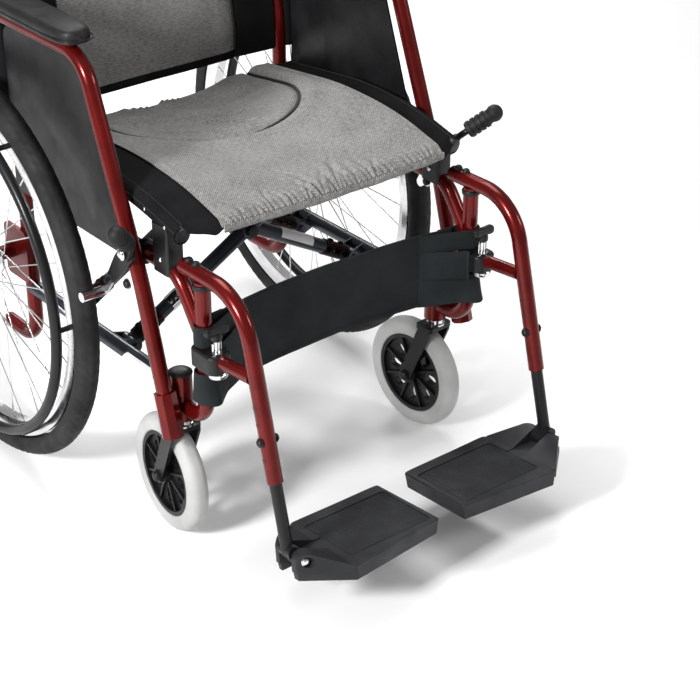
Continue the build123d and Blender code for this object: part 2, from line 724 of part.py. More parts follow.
export_pair("hanger_bolts", hanger_bolts.part)

# ---- parking brake ----
CLAMP_Y = POST_Y + 130
BRACKET_T = 4
with BuildPart() as brake_mount:
    with BuildSketch(Plane.XZ.offset(-CLAMP_Y)):
        with Locations((FRAME_X, UPPER_Z)):
            Circle(17)
        with Locations(((FRAME_X + BRAKE_X) / 2 + 2, UPPER_Z - 4)):
            Rectangle(BRAKE_X - FRAME_X + 4, 18)
        with Locations((FRAME_X, UPPER_Z)):
            Circle(TUBE_R + FIT, mode=Mode.SUBTRACT)
    extrude(amount=5, both=True)
    with BuildSketch(Plane.YZ.offset(BRAKE_X)):
        with Locations(LEVER_PIVOT):
            Circle(14)
        with Locations(SHOE_PIVOT):
            Circle(9)
        with Locations((CLAMP_Y, UPPER_Z)):
            Circle(8)
        make_hull()
    extrude(amount=BRACKET_T)
    for pivot in (LEVER_PIVOT, SHOE_PIVOT):
        with BuildSketch(Plane.YZ.offset(BRAKE_X)):
            with Locations(pivot):
                Circle(4)
        extrude(amount=BRACKET_T + 9)
export_pair("brake_mount", brake_mount.part)

link_x = BRAKE_X + BRACKET_T + 0.3
LINK_T = 6
GRIP_R = 9.5
GRIP_LENGTH = 46
lever_corner = Vector(link_x + LINK_T / 2, *LEVER_BEND)
lever_ball = Vector(*LEVER_BALL)
lever_unit = (lever_ball - lever_corner).normalized()
with BuildPart() as brake_lever:
    with BuildSketch(Plane.YZ.offset(link_x)):
        with Locations(LEVER_PIVOT):
            Circle(12)
        with Locations(LEVER_BEND):
            Circle(6)
        make_hull()
        with Locations(LEVER_PIVOT):
            Circle(4 + FIT, mode=Mode.SUBTRACT)
    extrude(amount=LINK_T)
    with Locations(lever_corner):
        Sphere(6.8)
    with BuildSketch(Plane(lever_corner, z_dir=lever_unit)):
        Circle(5)
    extrude(amount=(lever_ball - lever_corner).length)
    with BuildSketch(Plane(lever_ball - lever_unit * GRIP_LENGTH, z_dir=lever_unit)):
        Circle(GRIP_R)
    extrude(amount=GRIP_LENGTH)
    with Locations(lever_ball):
        Sphere(GRIP_R + 0.8)
export_pair("brake_lever", brake_lever.part)

with BuildPart() as brake_shoe:
    with BuildSketch(Plane.YZ.offset(link_x)):
        with Locations(SHOE_PIVOT):
            Circle(9)
        with Locations(SHOE_BAR):
            Circle(7)
        make_hull()
        with Locations(SHOE_PIVOT):
            Circle(4 + FIT, mode=Mode.SUBTRACT)
    extrude(amount=4)
    with BuildSketch(Plane.YZ.offset(link_x)):
        with Locations(SHOE_BAR):
            Circle(7)
    extrude(amount=38)
export_pair("brake_shoe", brake_shoe.part)

# ---- upholstery ----
# The seat follows the bow of the rails. Its top is given as (y, z) from front to rear.
SEAT_HALF = FRAME_X - TUBE_R - GAP
SEAT_T = 16
SEAT_TOP = [
    (SEAT_FRONT, 506),
    (POST_Y + 114, 520),
    (POST_Y + 204, 525),
    (POST_Y + 324, 518),
    (SEAT_BACK, 510),
]
with BuildPart() as seat_cushion:
    with BuildSketch(Plane.YZ):
        with BuildLine():
            seat_underside = [(y, z - SEAT_T) for y, z in reversed(SEAT_TOP)]
            Polyline(*SEAT_TOP, *seat_underside, close=True)
        make_face()
    extrude(amount=SEAT_HALF, both=True)
export("seat_cushion", seat_cushion.part)

BACK_HALF = FRAME_X - TUBE_R - GAP
BACK_T = 18
BACK_TOP = 872
with BuildPart() as back_upholstery:
    with BuildSketch(Plane.YZ):
        with BuildLine():
            top_shift = (BACK_TOP - CANE_BEND_Z) * CANE_LEAN
            Polyline(
                (CANE_Y - BACK_T / 2, 520),
                (CANE_Y - BACK_T / 2, CANE_BEND_Z),
                (CANE_Y - BACK_T / 2 + top_shift, BACK_TOP),
                (CANE_Y + BACK_T / 2 + top_shift, BACK_TOP),
                (CANE_Y + BACK_T / 2, CANE_BEND_Z),
                (CANE_Y + BACK_T / 2, 520),
                close=True,
            )
        make_face()
    extrude(amount=BACK_HALF, both=True)
export("back_upholstery", back_upholstery.part)

STRAP_Z = (256, 373)
STRAP_T = 4
STRAP_HALF = 213
with BuildPart() as calf_strap:
    with BuildSketch(Plane.XY.offset(STRAP_Z[0])):
        with BuildLine():
            inner_end = (STRAP_HALF, POST_Y + 14)
            outer_end = (STRAP_HALF, POST_Y + 14 + STRAP_T)
            ThreePointArc((-inner_end[0], inner_end[1]), (0, POST_Y + 36), inner_end)
            Line(inner_end, outer_end)
            ThreePointArc(outer_end, (0, POST_Y + 36 + STRAP_T), (-outer_end[0], outer_end[1]))
            Line((-outer_end[0], outer_end[1]), (-inner_end[0], inner_end[1]))
        make_face()
    extrude(amount=STRAP_Z[1] - STRAP_Z[0])
export("calf_strap", calf_strap.part)
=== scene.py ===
import json
import math
import random

import bmesh
import bpy
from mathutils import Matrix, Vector, noise


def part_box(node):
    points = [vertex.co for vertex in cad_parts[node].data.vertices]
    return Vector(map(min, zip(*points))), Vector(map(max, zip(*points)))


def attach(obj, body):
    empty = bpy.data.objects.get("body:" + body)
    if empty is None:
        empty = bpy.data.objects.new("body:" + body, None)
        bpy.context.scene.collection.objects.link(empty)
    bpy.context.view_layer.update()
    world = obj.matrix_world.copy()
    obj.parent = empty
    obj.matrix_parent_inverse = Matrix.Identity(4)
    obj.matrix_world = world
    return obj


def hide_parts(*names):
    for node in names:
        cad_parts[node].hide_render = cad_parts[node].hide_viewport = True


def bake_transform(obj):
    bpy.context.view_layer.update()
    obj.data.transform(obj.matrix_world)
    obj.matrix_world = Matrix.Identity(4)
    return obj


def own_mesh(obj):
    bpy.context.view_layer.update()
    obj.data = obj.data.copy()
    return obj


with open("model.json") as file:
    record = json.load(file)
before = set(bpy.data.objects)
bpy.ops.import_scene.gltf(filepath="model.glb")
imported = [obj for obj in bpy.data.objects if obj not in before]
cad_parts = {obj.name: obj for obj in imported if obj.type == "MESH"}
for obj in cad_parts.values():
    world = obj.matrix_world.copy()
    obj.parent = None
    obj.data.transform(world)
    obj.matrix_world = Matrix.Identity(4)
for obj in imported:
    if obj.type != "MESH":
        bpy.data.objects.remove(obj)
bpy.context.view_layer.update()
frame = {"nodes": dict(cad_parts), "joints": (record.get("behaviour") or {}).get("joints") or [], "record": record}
nodes = frame["nodes"]
joints = {j["name"]: j for j in frame["joints"]}
SIDES = {"left": 1, "right": -1}
MM = 0.001


def mm(*values):
    """A point given in millimetres."""
    return Vector(values) * MM


def joint_at(name):
    """Where a joint's axis stands."""
    return Vector(joints[name]["pos_m"])


def smooth_step(t):
    t = min(1.0, max(0.0, t))
    return t * t * (3 - 2 * t)


def bell(t):
    """1 at t = 0, falling smoothly to nothing by about t = 2."""
    return math.exp(-t * t)


# ---------------------------------------------------------------- camera, light, floor
CAMERA_AT = Vector((-1.4490, -2.0674, 1.5496))
CAMERA_YAW = 39.007
CAMERA_PITCH = 29.297
CAMERA_LENS = 96.86

camera = bpy.data.objects.new("camera", bpy.data.cameras.new("camera"))
bpy.context.scene.collection.objects.link(camera)
camera.location = CAMERA_AT
camera.rotation_euler = (math.radians(90 - CAMERA_PITCH), 0, math.radians(-CAMERA_YAW))
camera.data.lens = CAMERA_LENS
camera.data.sensor_width = 36
bpy.context.scene.camera = camera


def area_light(name, at, target, size, power):
    """A soft square light that faces a point."""
    data = bpy.data.lights.new(name, "AREA")
    data.shape = "RECTANGLE"
    data.size = data.size_y = size
    data.energy = power
    light = bpy.data.objects.new(name, data)
    bpy.context.scene.collection.objects.link(light)
    light.location = at
    light.rotation_euler = (Vector(target) - Vector(at)).to_track_quat("-Z", "Y").to_euler()


area_light("key", (-2.9, -0.7, 1.9), (0, -0.1, 0.4), 0.6, 150)
area_light("fill", (2.2, -2.4, 2.0), (0, 0, 0.4), 0.8, 30)
area_light("top", (0.3, 1.1, 3.4), (0, 0, 0.3), 2.0, 85)
area_light("back", (1.6, 2.6, 1.9), (0, 0, 0.5), 0.8, 30)

world = bpy.data.worlds.new("studio")
world.use_nodes = True
world.node_tree.nodes["Background"].inputs["Color"].default_value = (1, 1, 1, 1)
world.node_tree.nodes["Background"].inputs["Strength"].default_value = 0.3
bpy.context.scene.world = world
bpy.context.scene.view_settings.view_transform = "Standard"


# ---------------------------------------------------------------- materials
class Surface:
    """A node material with one Principled shader, and short ways to add texture to it."""

    def __init__(self, name, color, roughness, **sockets):
        self.material = bpy.data.materials.new(name)
        self.material.use_nodes = True
        self.tree = self.material.node_tree
        self.shader = self.tree.nodes["Principled BSDF"]
        self.shader.inputs["Base Color"].default_value = (*color, 1)
        self.shader.inputs["Roughness"].default_value = roughness
        for socket, value in sockets.items():
            self.shader.inputs[socket.replace("_", " ")].default_value = value
        self.place = self.node("ShaderNodeTexCoord").outputs["Object"]

    def node(self, kind, inputs=None, **settings):
        made = self.tree.nodes.new(kind)
        for name, value in settings.items():
            setattr(made, name, value)
        for socket, value in (inputs or {}).items():
            if isinstance(value, bpy.types.NodeSocket):
                self.tree.links.new(value, made.inputs[socket])
            else:
                made.inputs[socket].default_value = value
        return made

    def stretched(self, scale):
        """The object's own coordinates, in metres, scaled apart along each axis."""
        return self.node("ShaderNodeMapping", {"Vector": self.place, "Scale": scale}).outputs["Vector"]

    def noise(self, scale, detail=2.0, vector=None):
        inputs = {"Vector": vector or self.place, "Scale": scale, "Detail": detail}
        return self.node("ShaderNodeTexNoise", inputs).outputs["Fac"]

    def cells(self, scale):
        inputs = {"Vector": self.place, "Scale": scale}
        return self.node("ShaderNodeTexVoronoi", inputs).outputs["Distance"]

    def math(self, operation, a, b=0.0, c=0.0):
        return self.node("ShaderNodeMath", {0: a, 1: b, 2: c}, operation=operation).outputs["Value"]

    def spread(self, value, low, high, from_low=0.3, from_high=0.7):
        """Map a texture's usual range to low..high."""
        inputs = {"Value": value, "From Min": from_low, "From Max": from_high}
        inputs.update({"To Min": low, "To Max": high})
        return self.node("ShaderNodeMapRange", inputs).outputs["Result"]

    def tint(self, amount, first, second):
        """Blend two colours by a 0..1 value."""
        made = self.node("ShaderNodeMix", {"Factor": amount}, data_type="RGBA")
        made.inputs["A"].default_value = (*first, 1)
        made.inputs["B"].default_value = (*second, 1)
        for socket in made.outputs:
            if socket.type == "RGBA":
                return socket

    def color(self, value):
        self.tree.links.new(value, self.shader.inputs["Base Color"])

    def roughness(self, value):
        self.tree.links.new(value, self.shader.inputs["Roughness"])

    def bump(self, height, distance):
        """Raise the surface by height times distance, in metres, on top of earlier bumps."""
        bumped = self.node("ShaderNodeBump", {"Height": height, "Distance": distance, "Strength": 1.0})
        normal = self.shader.inputs["Normal"]
        if normal.is_linked:
            self.tree.links.new(normal.links[0].from_socket, bumped.inputs["Normal"])
        self.tree.links.new(bumped.outputs["Normal"], normal)


def painted(name, deep, bright, roughness, metallic, coat, grain):
    """Glossy or satin metallic paint with fine flakes, orange peel and faint handling marks."""
    s = Surface(name, bright, roughness, Metallic=metallic, Coat_Weight=coat)
    s.shader.inputs["Coat Roughness"].default_value = 0.05
    s.shader.inputs["Specular IOR Level"].default_value = 0.2
    flakes = s.cells(2600)
    clouds = s.noise(26, 4)
    mixed = s.math("MULTIPLY_ADD", flakes, 0.55, s.spread(clouds, 0.0, 0.4))
    s.color(s.tint(mixed, bright, deep))
    marks = s.noise(9, 6)
    s.roughness(s.spread(marks, roughness * 0.8, roughness * 1.35))
    s.bump(s.noise(420, 2), 0.00002 * grain)
    s.bump(flakes, 0.00001 * grain)
    return s.material


def plated(name, color, roughness, brush):
    """Bright metal with fine drawn lines along one direction and dull patches."""
    s = Surface(name, color, roughness, Metallic=1.0)
    lines = s.noise(90, 4, s.stretched(brush))
    patches = s.noise(14, 5)
    s.color(s.tint(s.spread(patches, 0.0, 0.5), color, tuple(c * 0.72 for c in color)))
    s.roughness(s.math("MULTIPLY_ADD", lines, roughness * 0.9, s.spread(patches, 0.0, roughness * 0.7)))
    s.bump(lines, 0.00002)
    return s.material


def moulded(name, color, light, roughness, pebble, depth, gloss=0.3):
    """Moulded plastic or rubber: pebbled skin, cloudy colour, rubbed lighter in places."""
    s = Surface(name, color, roughness, Specular_IOR_Level=gloss)
    rubbed = s.noise(17, 6)
    s.color(s.tint(s.spread(rubbed, 0.0, 1.0, 0.35, 0.75), color, light))
    s.roughness(s.spread(s.noise(38, 4), roughness * 0.82, min(1.0, roughness * 1.2)))
    s.bump(s.cells(pebble), depth)
    s.bump(s.noise(pebble * 0.35, 3), depth * 0.8)
    return s.material


def woven(name, dark, light, thread, depth, roughness, sheen, heather, gloss=0.12):
    """Plain weave in the plane of the sheet. Its UV map holds the sheet's own width and length,
    in metres."""
    s = Surface(
        name, dark, roughness, Sheen_Weight=sheen, Sheen_Roughness=0.5, Specular_IOR_Level=gloss
    )
    uv = s.node("ShaderNodeUVMap", uv_map="cloth").outputs["UV"]
    parts = s.node("ShaderNodeSeparateXYZ", {"Vector": uv})
    wobble = s.noise(60, 2)
    turns = 2 * math.pi / thread
    shift = s.math("MULTIPLY", wobble, 1.1)
    warp = s.math("SINE", s.math("MULTIPLY_ADD", parts.outputs["X"], turns, shift))
    weft = s.math("SINE", s.math("MULTIPLY_ADD", parts.outputs["Y"], turns, shift))
    over = s.math("MULTIPLY", warp, weft)
    height = s.math("MULTIPLY_ADD", over, 0.5, 0.5)
    along_yarn = s.node("ShaderNodeMapping", {"Vector": uv, "Scale": (1, 3, 1)}).outputs["Vector"]
    yarn = s.noise(0.5 / thread, 3, along_yarn)
    clouds = s.spread(s.noise(22, 5), -heather, heather)
    # Colour follows the weave's height: the dips between threads are darker as painted shade, with real
    # yarn-to-yarn and heather tone on top.
    shade = s.math("ADD", s.math("MULTIPLY_ADD", height, 0.55, s.spread(yarn, 0.0, 0.45)), clouds)
    s.color(s.tint(shade, dark, light))
    s.roughness(s.spread(yarn, roughness * 0.88, min(1.0, roughness * 1.1)))
    s.bump(height, depth)
    s.bump(s.noise(160, 3), depth * 0.6)
    return s.material


def plain_cloth(name, dark, light, roughness, sheen):
    """Napped or fine cloth for webbing, piping and thread, without a visible weave."""
    s = Surface(
        name, dark, roughness, Sheen_Weight=sheen, Sheen_Roughness=0.45, Specular_IOR_Level=0.15
    )
    fibres = s.noise(900, 3, s.stretched((1, 1, 4)))
    s.color(s.tint(s.spread(fibres, 0.0, 1.0), dark, light))
    s.bump(fibres, 0.00008)
    s.bump(s.noise(70, 4), 0.0005)
    return s.material


RED = painted("frame_red", (0.04, 0.0015, 0.0015), (0.165, 0.0065, 0.005), 0.24, 0.5, 0.22, 1.0)
# A darker copy of the frame's red paint for the brace sleeves low under the seat: painted shade.
SHADED_RED = painted("frame_red_shaded", (0.008, 0.0015, 0.0015), (0.05, 0.006, 0.005), 0.35, 0.3, 0.2, 2.0)
SLATE = painted("brace_slate", (0.008, 0.011, 0.016), (0.03, 0.038, 0.05), 0.3, 0.45, 0.3, 1.5)
BLACK_COAT = painted("black_coat", (0.003, 0.003, 0.0035), (0.012, 0.012, 0.013), 0.34, 0.1, 0.1, 3.0)
CHROME = plated("bright_steel", (0.74, 0.74, 0.75), 0.16, (1, 1, 12))
ALLOY = plated("rim_alloy", (0.72, 0.72, 0.73), 0.27, (12, 1, 1))
TYRE = moulded("tyre_rubber", (0.006, 0.006, 0.006), (0.018, 0.0175, 0.017), 0.72, 1500, 0.00012)
GREY_TYRE = moulded("grey_urethane", (0.35, 0.35, 0.345), (0.46, 0.46, 0.455), 0.5, 1300, 0.00004)
PLASTIC = moulded("black_plastic", (0.004, 0.004, 0.0045), (0.012, 0.012, 0.013), 0.42, 1700, 0.00004)
PLATE = moulded("footplate_plastic", (0.008, 0.0085, 0.0095), (0.02, 0.0215, 0.024), 0.5, 1100, 0.00012)
RUBBER = moulded("grip_rubber", (0.0035, 0.0035, 0.0035), (0.011, 0.011, 0.011), 0.6, 1400, 0.00008)
VINYL = moulded("pad_vinyl", (0.004, 0.004, 0.0042), (0.01, 0.01, 0.0105), 0.45, 900, 0.00016)
LABEL = moulded("blank_label", (0.72, 0.72, 0.71), (0.8, 0.8, 0.79), 0.35, 700, 0.00001)
SEAT_CLOTH = woven(
    "seat_cloth", (0.04, 0.0395, 0.038), (0.375, 0.372, 0.362),
    thread=0.0036, depth=0.0006, roughness=0.72, sheen=0.08, heather=0.08,
)
NYLON = woven(
    "black_nylon", (0.004, 0.004, 0.0045), (0.014, 0.014, 0.015),
    thread=0.0016, depth=0.0002, roughness=0.7, sheen=0.003, heather=0.2, gloss=0.03,
)
STRAP_CLOTH = woven(
    "strap_cloth", (0.004, 0.0055, 0.006), (0.017, 0.021, 0.023),
    thread=0.002, depth=0.0003, roughness=0.78, sheen=0.06, heather=0.25,
)
PIPING = plain_cloth("piping", (0.004, 0.004, 0.004), (0.016, 0.016, 0.016), 0.6, 0.2)
THREAD = plain_cloth("thread", (0.004, 0.004, 0.004), (0.02, 0.02, 0.02), 0.7, 0.1)

SLOT_MATERIALS = {
    "frame_paint": RED,
    "brace_paint": SLATE,
    "black_paint": BLACK_COAT,
    "fork_steel": BLACK_COAT,
    "bright_steel": CHROME,
    "rim_alloy": ALLOY,
    "black_tyre": TYRE,
    "grey_tyre": GREY_TYRE,
    "black_plastic": PLASTIC,
    "footplate_plastic": PLATE,
    "pad_skin": VINYL,
    "grip_rubber": RUBBER,
    "seat_fabric": SEAT_CLOTH,
    "black_fabric": NYLON,
}
MATERIAL_SLOTS = {material.name: slot for slot, material in SLOT_MATERIALS.items()}
MATERIAL_SLOTS.update({BLACK_COAT.name: "black_paint", STRAP_CLOTH.name: "black_fabric"})
MATERIAL_SLOTS.update({PIPING.name: "black_fabric", THREAD.name: "black_fabric"})
MATERIAL_SLOTS.update({LABEL.name: "black_plastic", SHADED_RED.name: "frame_paint"})

for part in frame["record"]["subparts"]:
    node = nodes[part["node"]]
    node.data.materials.clear()
    node.data.materials.append(SLOT_MATERIALS[part["material_slot"]])

nodes["cross_bolts"].data.materials[0] = BLACK_COAT
for side in SIDES:
    nodes[f"{side}_handrim"].data.materials[0] = BLACK_COAT

floor_surface = Surface("floor", (0.93, 0.93, 0.928), 0.6)
floor_clouds = floor_surface.noise(3, 3)
floor_surface.color(floor_surface.tint(floor_clouds, (0.925, 0.925, 0.922), (0.94, 0.94, 0.938)))
floor_mesh = bpy.data.meshes.new("floor")
FLOOR_HALF, FLOOR_Z = 30, -0.0005
floor_corners = [(x * FLOOR_HALF, y * FLOOR_HALF, FLOOR_Z) for x, y in ((-1, -1), (1, -1), (1, 1), (-1, 1))]
floor_mesh.from_pydata(floor_corners, [], [(0, 1, 2, 3)])
floor_mesh.materials.append(floor_surface.material)
floor = bpy.data.objects.new("floor", floor_mesh)
bpy.context.scene.collection.objects.link(floor)


# ---------------------------------------------------------------- mesh helpers
def add_object(name, mesh, materials, body=None, crease=35):
    """Link a mesh with its materials, smooth it up to an angle and ride it on a body."""
    for material in materials if isinstance(materials, (list, tuple)) else [materials]:
        mesh.materials.append(material)
    made = bpy.data.objects.new(name, mesh)
    bpy.context.scene.collection.objects.link(made)
    shade(mesh, crease)
    if body:
        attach(made, body)
    return made


def shade(mesh, crease=35):
    """Smooth shading, with the edges sharper than an angle kept."""
    work = bmesh.new()
    work.from_mesh(mesh)
    bmesh.ops.recalc_face_normals(work, faces=work.faces)
    for face in work.faces:
        face.smooth = True
    for edge in work.edges:
        edge.smooth = len(edge.link_faces) != 2 or edge.calc_face_angle(0) < math.radians(crease)
    work.to_mesh(mesh)
    work.free()


class Build:
    """Collects grids, tubes and turned shapes into one mesh."""

    def __init__(self):
        self.verts = []
        self.faces = []
        self.slots = []
        self.uvs = {}

    def face(self, *corners):
        self.faces.append(corners)
        self.slots.append(0)

    def rings(self, rings, caps=True, loop=False):
        """Skin closed rings of equal length. loop joins the last ring to the first."""
        start = len(self.verts)
        count = len(rings[0])
        for ring in rings:
            self.verts.extend(ring)
        steps = len(rings) if loop else len(rings) - 1
        for i in range(steps):
            a = start + i * count
            b = start + (i + 1) % len(rings) * count
            for j in range(count):
                k = (j + 1) % count
                self.face(a + j, a + k, b + k, b + j)
        if caps and not loop:
            self.face(*[start + j for j in reversed(range(count))])
            self.face(*[start + (len(rings) - 1) * count + j for j in range(count)])
        return self

    def tube(self, path, radius, sides=12, loop=False):
        """A round bar along a path."""
        path = [Vector(p) for p in path]
        rings = []
        side = None
        for i, p in enumerate(path):
            before = path[i - 1] if i or loop else p
            after = path[(i + 1) % len(path)] if i < len(path) - 1 or loop else p
            along = (after - before).normalized()
            if side is None:
                side = along.orthogonal().normalized()
                if abs(along.z) < 0.9:
                    side = along.cross(Vector((0, 0, 1))).normalized()
            side = (side - along * side.dot(along)).normalized()
            other = along.cross(side)
            ring = []
            for k in range(sides):
                a = 2 * math.pi * k / sides
                ring.append(p + radius * (math.cos(a) * side + math.sin(a) * other))
            rings.append(ring)
        return self.rings(rings, loop=loop)

    def turned(self, profile, origin, axis, sides=32, caps=True):
        """A turned shape: profile is (distance along the axis, radius), in metres."""
        axis = Vector(axis).normalized()
        across = axis.orthogonal().normalized()
        other = axis.cross(across)
        rings = []
        for along, radius in profile:
            center = Vector(origin) + axis * along
            ring = []
            for k in range(sides):
                a = 2 * math.pi * k / sides
                ring.append(center + radius * (math.cos(a) * across + math.sin(a) * other))
            rings.append(ring)
        return self.rings(rings, caps=caps)

    def sheet(self, columns, rows, point, thickness=0.0, depth=None):
        """A grid of point(u, v). With a thickness it is closed with a second side, behind it, or
        straight below it by depth(u, v). Its UV map is the real distance along the middle row
        and column, in metres."""
        start = len(self.verts)
        us = [i / columns for i in range(columns + 1)]
        vs = [j / rows for j in range(rows + 1)]
        grid = [[Vector(point(u, v)) for v in vs] for u in us]
        mid_row, mid_column = rows // 2, columns // 2
        across = [0.0]
        for i in range(columns):
            across.append(across[-1] + (grid[i + 1][mid_row] - grid[i][mid_row]).length)
        down = [0.0]
        for j in range(rows):
            down.append(down[-1] + (grid[mid_column][j + 1] - grid[mid_column][j]).length)
        layers = [grid]
        if thickness:
            back = []
            for i in range(columns + 1):
                line = []
                for j in range(rows + 1):
                    du = grid[min(i + 1, columns)][j] - grid[max(i - 1, 0)][j]
                    dv = grid[i][min(j + 1, rows)] - grid[i][max(j - 1, 0)]
                    normal = du.cross(dv)
                    normal = normal.normalized() if normal.length > 1e-12 else Vector((0, 0, 1))
                    if depth:
                        line.append(grid[i][j] - Vector((0, 0, depth(us[i], vs[j]))))
                    else:
                        line.append(grid[i][j] - normal * thickness)
                back.append(line)
            layers.append(back)
        for layer in layers:
            for i in range(columns + 1):
                for j in range(rows + 1):
                    self.uvs[len(self.verts)] = (across[i], down[j])
                    self.verts.append(layer[i][j])
        wide = rows + 1
        size = (columns + 1) * wide
        for i in range(columns):
            for j in range(rows):
                a = start + i * wide + j
                self.face(a, a + wide, a + wide + 1, a + 1)
                if thickness:
                    b = a + size
                    self.face(b + 1, b + wide + 1, b + wide, b)
        if thickness:
            rim = [(i, 0) for i in range(columns)] + [(columns, j) for j in range(rows)]
            rim += [(i, rows) for i in range(columns, 0, -1)] + [(0, j) for j in range(rows, 0, -1)]
            for k, (i, j) in enumerate(rim):
                m, n = rim[(k + 1) % len(rim)]
                a, b = start + i * wide + j, start + m * wide + n
                self.face(b, a, a + size, b + size)
        return self

    def dome(self, at, axis, radius, height, hexagon=0.0, collar=0.0):
        """A domed screw head, with an optional six-sided socket and a flat collar under it."""
        axis = Vector(axis).normalized()
        profile = []
        if collar:
            profile += [(0.0, collar), (0.0008, collar), (0.001, radius)]
        else:
            profile += [(0.0, radius)]
        for k in range(1, 6):
            a = math.radians(90 * k / 6)
            profile.append((height * (0.25 + 0.75 * math.sin(a)), radius * (0.25 + 0.75 * math.cos(a))))
        if not hexagon:
            profile.append((height, radius * 0.2))
            return self.turned(profile, at, axis, 24)
        self.turned(profile, at, axis, 24, caps=False)
        top = profile[-1][0]
        self.turned([(top, profile[-1][1]), (top, hexagon)], at, axis, 24, caps=False)
        self.turned([(top + 0.00005, hexagon), (top - height * 0.55, hexagon)], at, axis, 6, caps=True)
        return self

    def mesh(self, name):
        made = bpy.data.meshes.new(name)
        made.from_pydata([tuple(v) for v in self.verts], [], self.faces)
        made.polygons.foreach_set("material_index", self.slots)
        layer = made.uv_layers.new(name="cloth")
        flat = []
        for loop in made.loops:
            flat.extend(self.uvs.get(loop.vertex_index, (0.0, 0.0)))
        layer.data.foreach_set("uv", flat)
        made.validate()
        return made

    def object(self, name, materials, body=None, crease=35):
        return add_object(name, self.mesh(name), materials, body, crease)


def loose_boxes(node):
    """The (lowest, highest) corners of each separate solid in a CAD node."""
    work = bmesh.new()
    work.from_mesh(nodes[node].data)
    bmesh.ops.remove_doubles(work, verts=work.verts, dist=1e-6)
    seen, boxes = set(), []
    for first in work.verts:
        if first in seen:
            continue
        group, stack = [], [first]
        seen.add(first)
        while stack:
            v = stack.pop()
            group.append(v.co.copy())
            for e in v.link_edges:
                o = e.other_vert(v)
                if o not in seen:
                    seen.add(o)
                    stack.append(o)
        lo = Vector([min(p[k] for p in group) for k in range(3)])
        hi = Vector([max(p[k] for p in group) for k in range(3)])
        boxes.append((lo, hi))
    work.free()
    return boxes


# ---------------------------------------------------------------- seat
# The seat rails' bow, as the CAD has it: straight, an arc over the crest, straight again.
rail_lo, rail_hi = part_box("left_seat_rail")
RAIL_X = (rail_lo.x + rail_hi.x) / 2 / MM
RAIL_R = (rail_hi.x - rail_lo.x) / 2 / MM
BOW_Y, BOW_R = -48.0, 600.0
BOW_FRONT, BOW_REAR = -191.0, 23.4
FRONT_SLOPE, REAR_SLOPE = 0.2453, -0.1198
BOW_TOP = rail_hi.z / MM - RAIL_R


def rail_z(y):
    """Height of the seat rail's centre line, in mm."""

    def on_arc(at):
        return BOW_TOP - BOW_R + math.sqrt(BOW_R**2 - (at - BOW_Y) ** 2)

    if y < BOW_FRONT:
        return on_arc(BOW_FRONT) + (y - BOW_FRONT) * FRONT_SLOPE
    if y > BOW_REAR:
        return on_arc(BOW_REAR) + (y - BOW_REAR) * REAR_SLOPE
    return on_arc(y)


SEAT_FRONT, SEAT_REAR = -251.0, 160.0
PANEL_HALF = 190.0
HEM_DROP = 8.6
# The contour seam: half an ellipse, running on as two straight lines to the rear.
CONTOUR_Y, CONTOUR_A, CONTOUR_B = 60.0, 150.0, 118.0


def edge_z(y):
    """Height of the grey panel along its side edges."""
    lift = 13 - 4 * smooth_step((y + 200) / 150)
    return rail_z(y) + RAIL_R + lift - 6.0 * smooth_step((-238 - y) / 14)


def seat_z(x, y):
    """Height of the grey panel before its padding and gathers are added."""
    depth = 4.5 + 13.5 * smooth_step((y - SEAT_FRONT) / 150)
    return edge_z(y) - depth * (1 - (abs(x) / PANEL_HALF) ** 2.2)


def contour_distance(x, y):
    """Signed distance, in mm and roughly, from the contour seam: positive inside it."""
    if y >= CONTOUR_Y:
        return CONTOUR_A - abs(x)
    r = math.hypot(x / CONTOUR_A, (y - CONTOUR_Y) / CONTOUR_B)
    return (1 - r) * min(CONTOUR_A, CONTOUR_B)


random.seed(7)
GATHERS = []
gather_x = -PANEL_HALF + 4
while gather_x < PANEL_HALF - 3:
    middle = bell(gather_x / 130)
    GATHERS.append(
        {
            "x": gather_x,
            "depth": random.uniform(1.4, 2.6) + 2.2 * middle * random.random(),
            "reach": random.uniform(8, 18) + 46 * middle * random.random() ** 2,
            "width": random.uniform(1.1, 1.7) + 0.9 * middle * random.random(),
            "slant": random.uniform(-0.35, 0.3) - 0.12,
            "bend": random.uniform(-0.012, 0.012),
        }
    )
    gather_x += random.uniform(5.0, 12.0)


def gather_height(x, y):
    """Puckers that run back from the front seam: sharp creases between puffed ridges."""
    back = y - SEAT_FRONT
    if back > 80:
        return 0.0
    total = 1.5 * math.exp(-((back / 16) ** 2))
    for g in GATHERS:
        aside = x - g["x"] - g["slant"] * back - g["bend"] * back * back
        wide = g["width"] * (1 + back / 30)
        if abs(aside) < 4.5 * wide:
            fade = math.exp(-((back / g["reach"]) ** 1.8))
            crease = bell(aside / wide) - 0.35 * bell((abs(aside) - 2.4 * wide) / (1.3 * wide))
            total -= g["depth"] * crease * fade
    return total


def wrinkle(x, y):
    """Long soft folds of the slack cloth, deeper inside the contour seam."""
    inside = smooth_step(contour_distance(x, y) / 40)
    warp = noise.noise(Vector((x * 0.008, y * 0.008, 3.1))) * 30
    folds = noise.noise(Vector(((x + warp) * 0.006, (y + x * 0.35 + warp) * 0.028, 1.7)))
    ridged = 1 - abs(folds) * 3.2
    soft = noise.noise(Vector((x * 0.016, y * 0.02, 8.0)))
    return inside * (6.0 * max(0.0, ridged) ** 1.5 - 1.8) + 1.8 * soft


def panel_height(x, y):
    """Everything that lies on the seat's plain shape: padding, seam channel, gathers."""
    near_side = PANEL_HALF - abs(x)
    edge = smooth_step(near_side / 16)
    front = smooth_step((y - SEAT_FRONT) / 22)
    along_seam = contour_distance(x, y)
    crown = 2.5 * edge * front
    channel = -5.0 * bell(along_seam / 5.5) + 3.2 * bell((along_seam + 15) / 12)
    return crown + channel * edge + gather_height(x, y) * edge + wrinkle(x, y) * edge * front


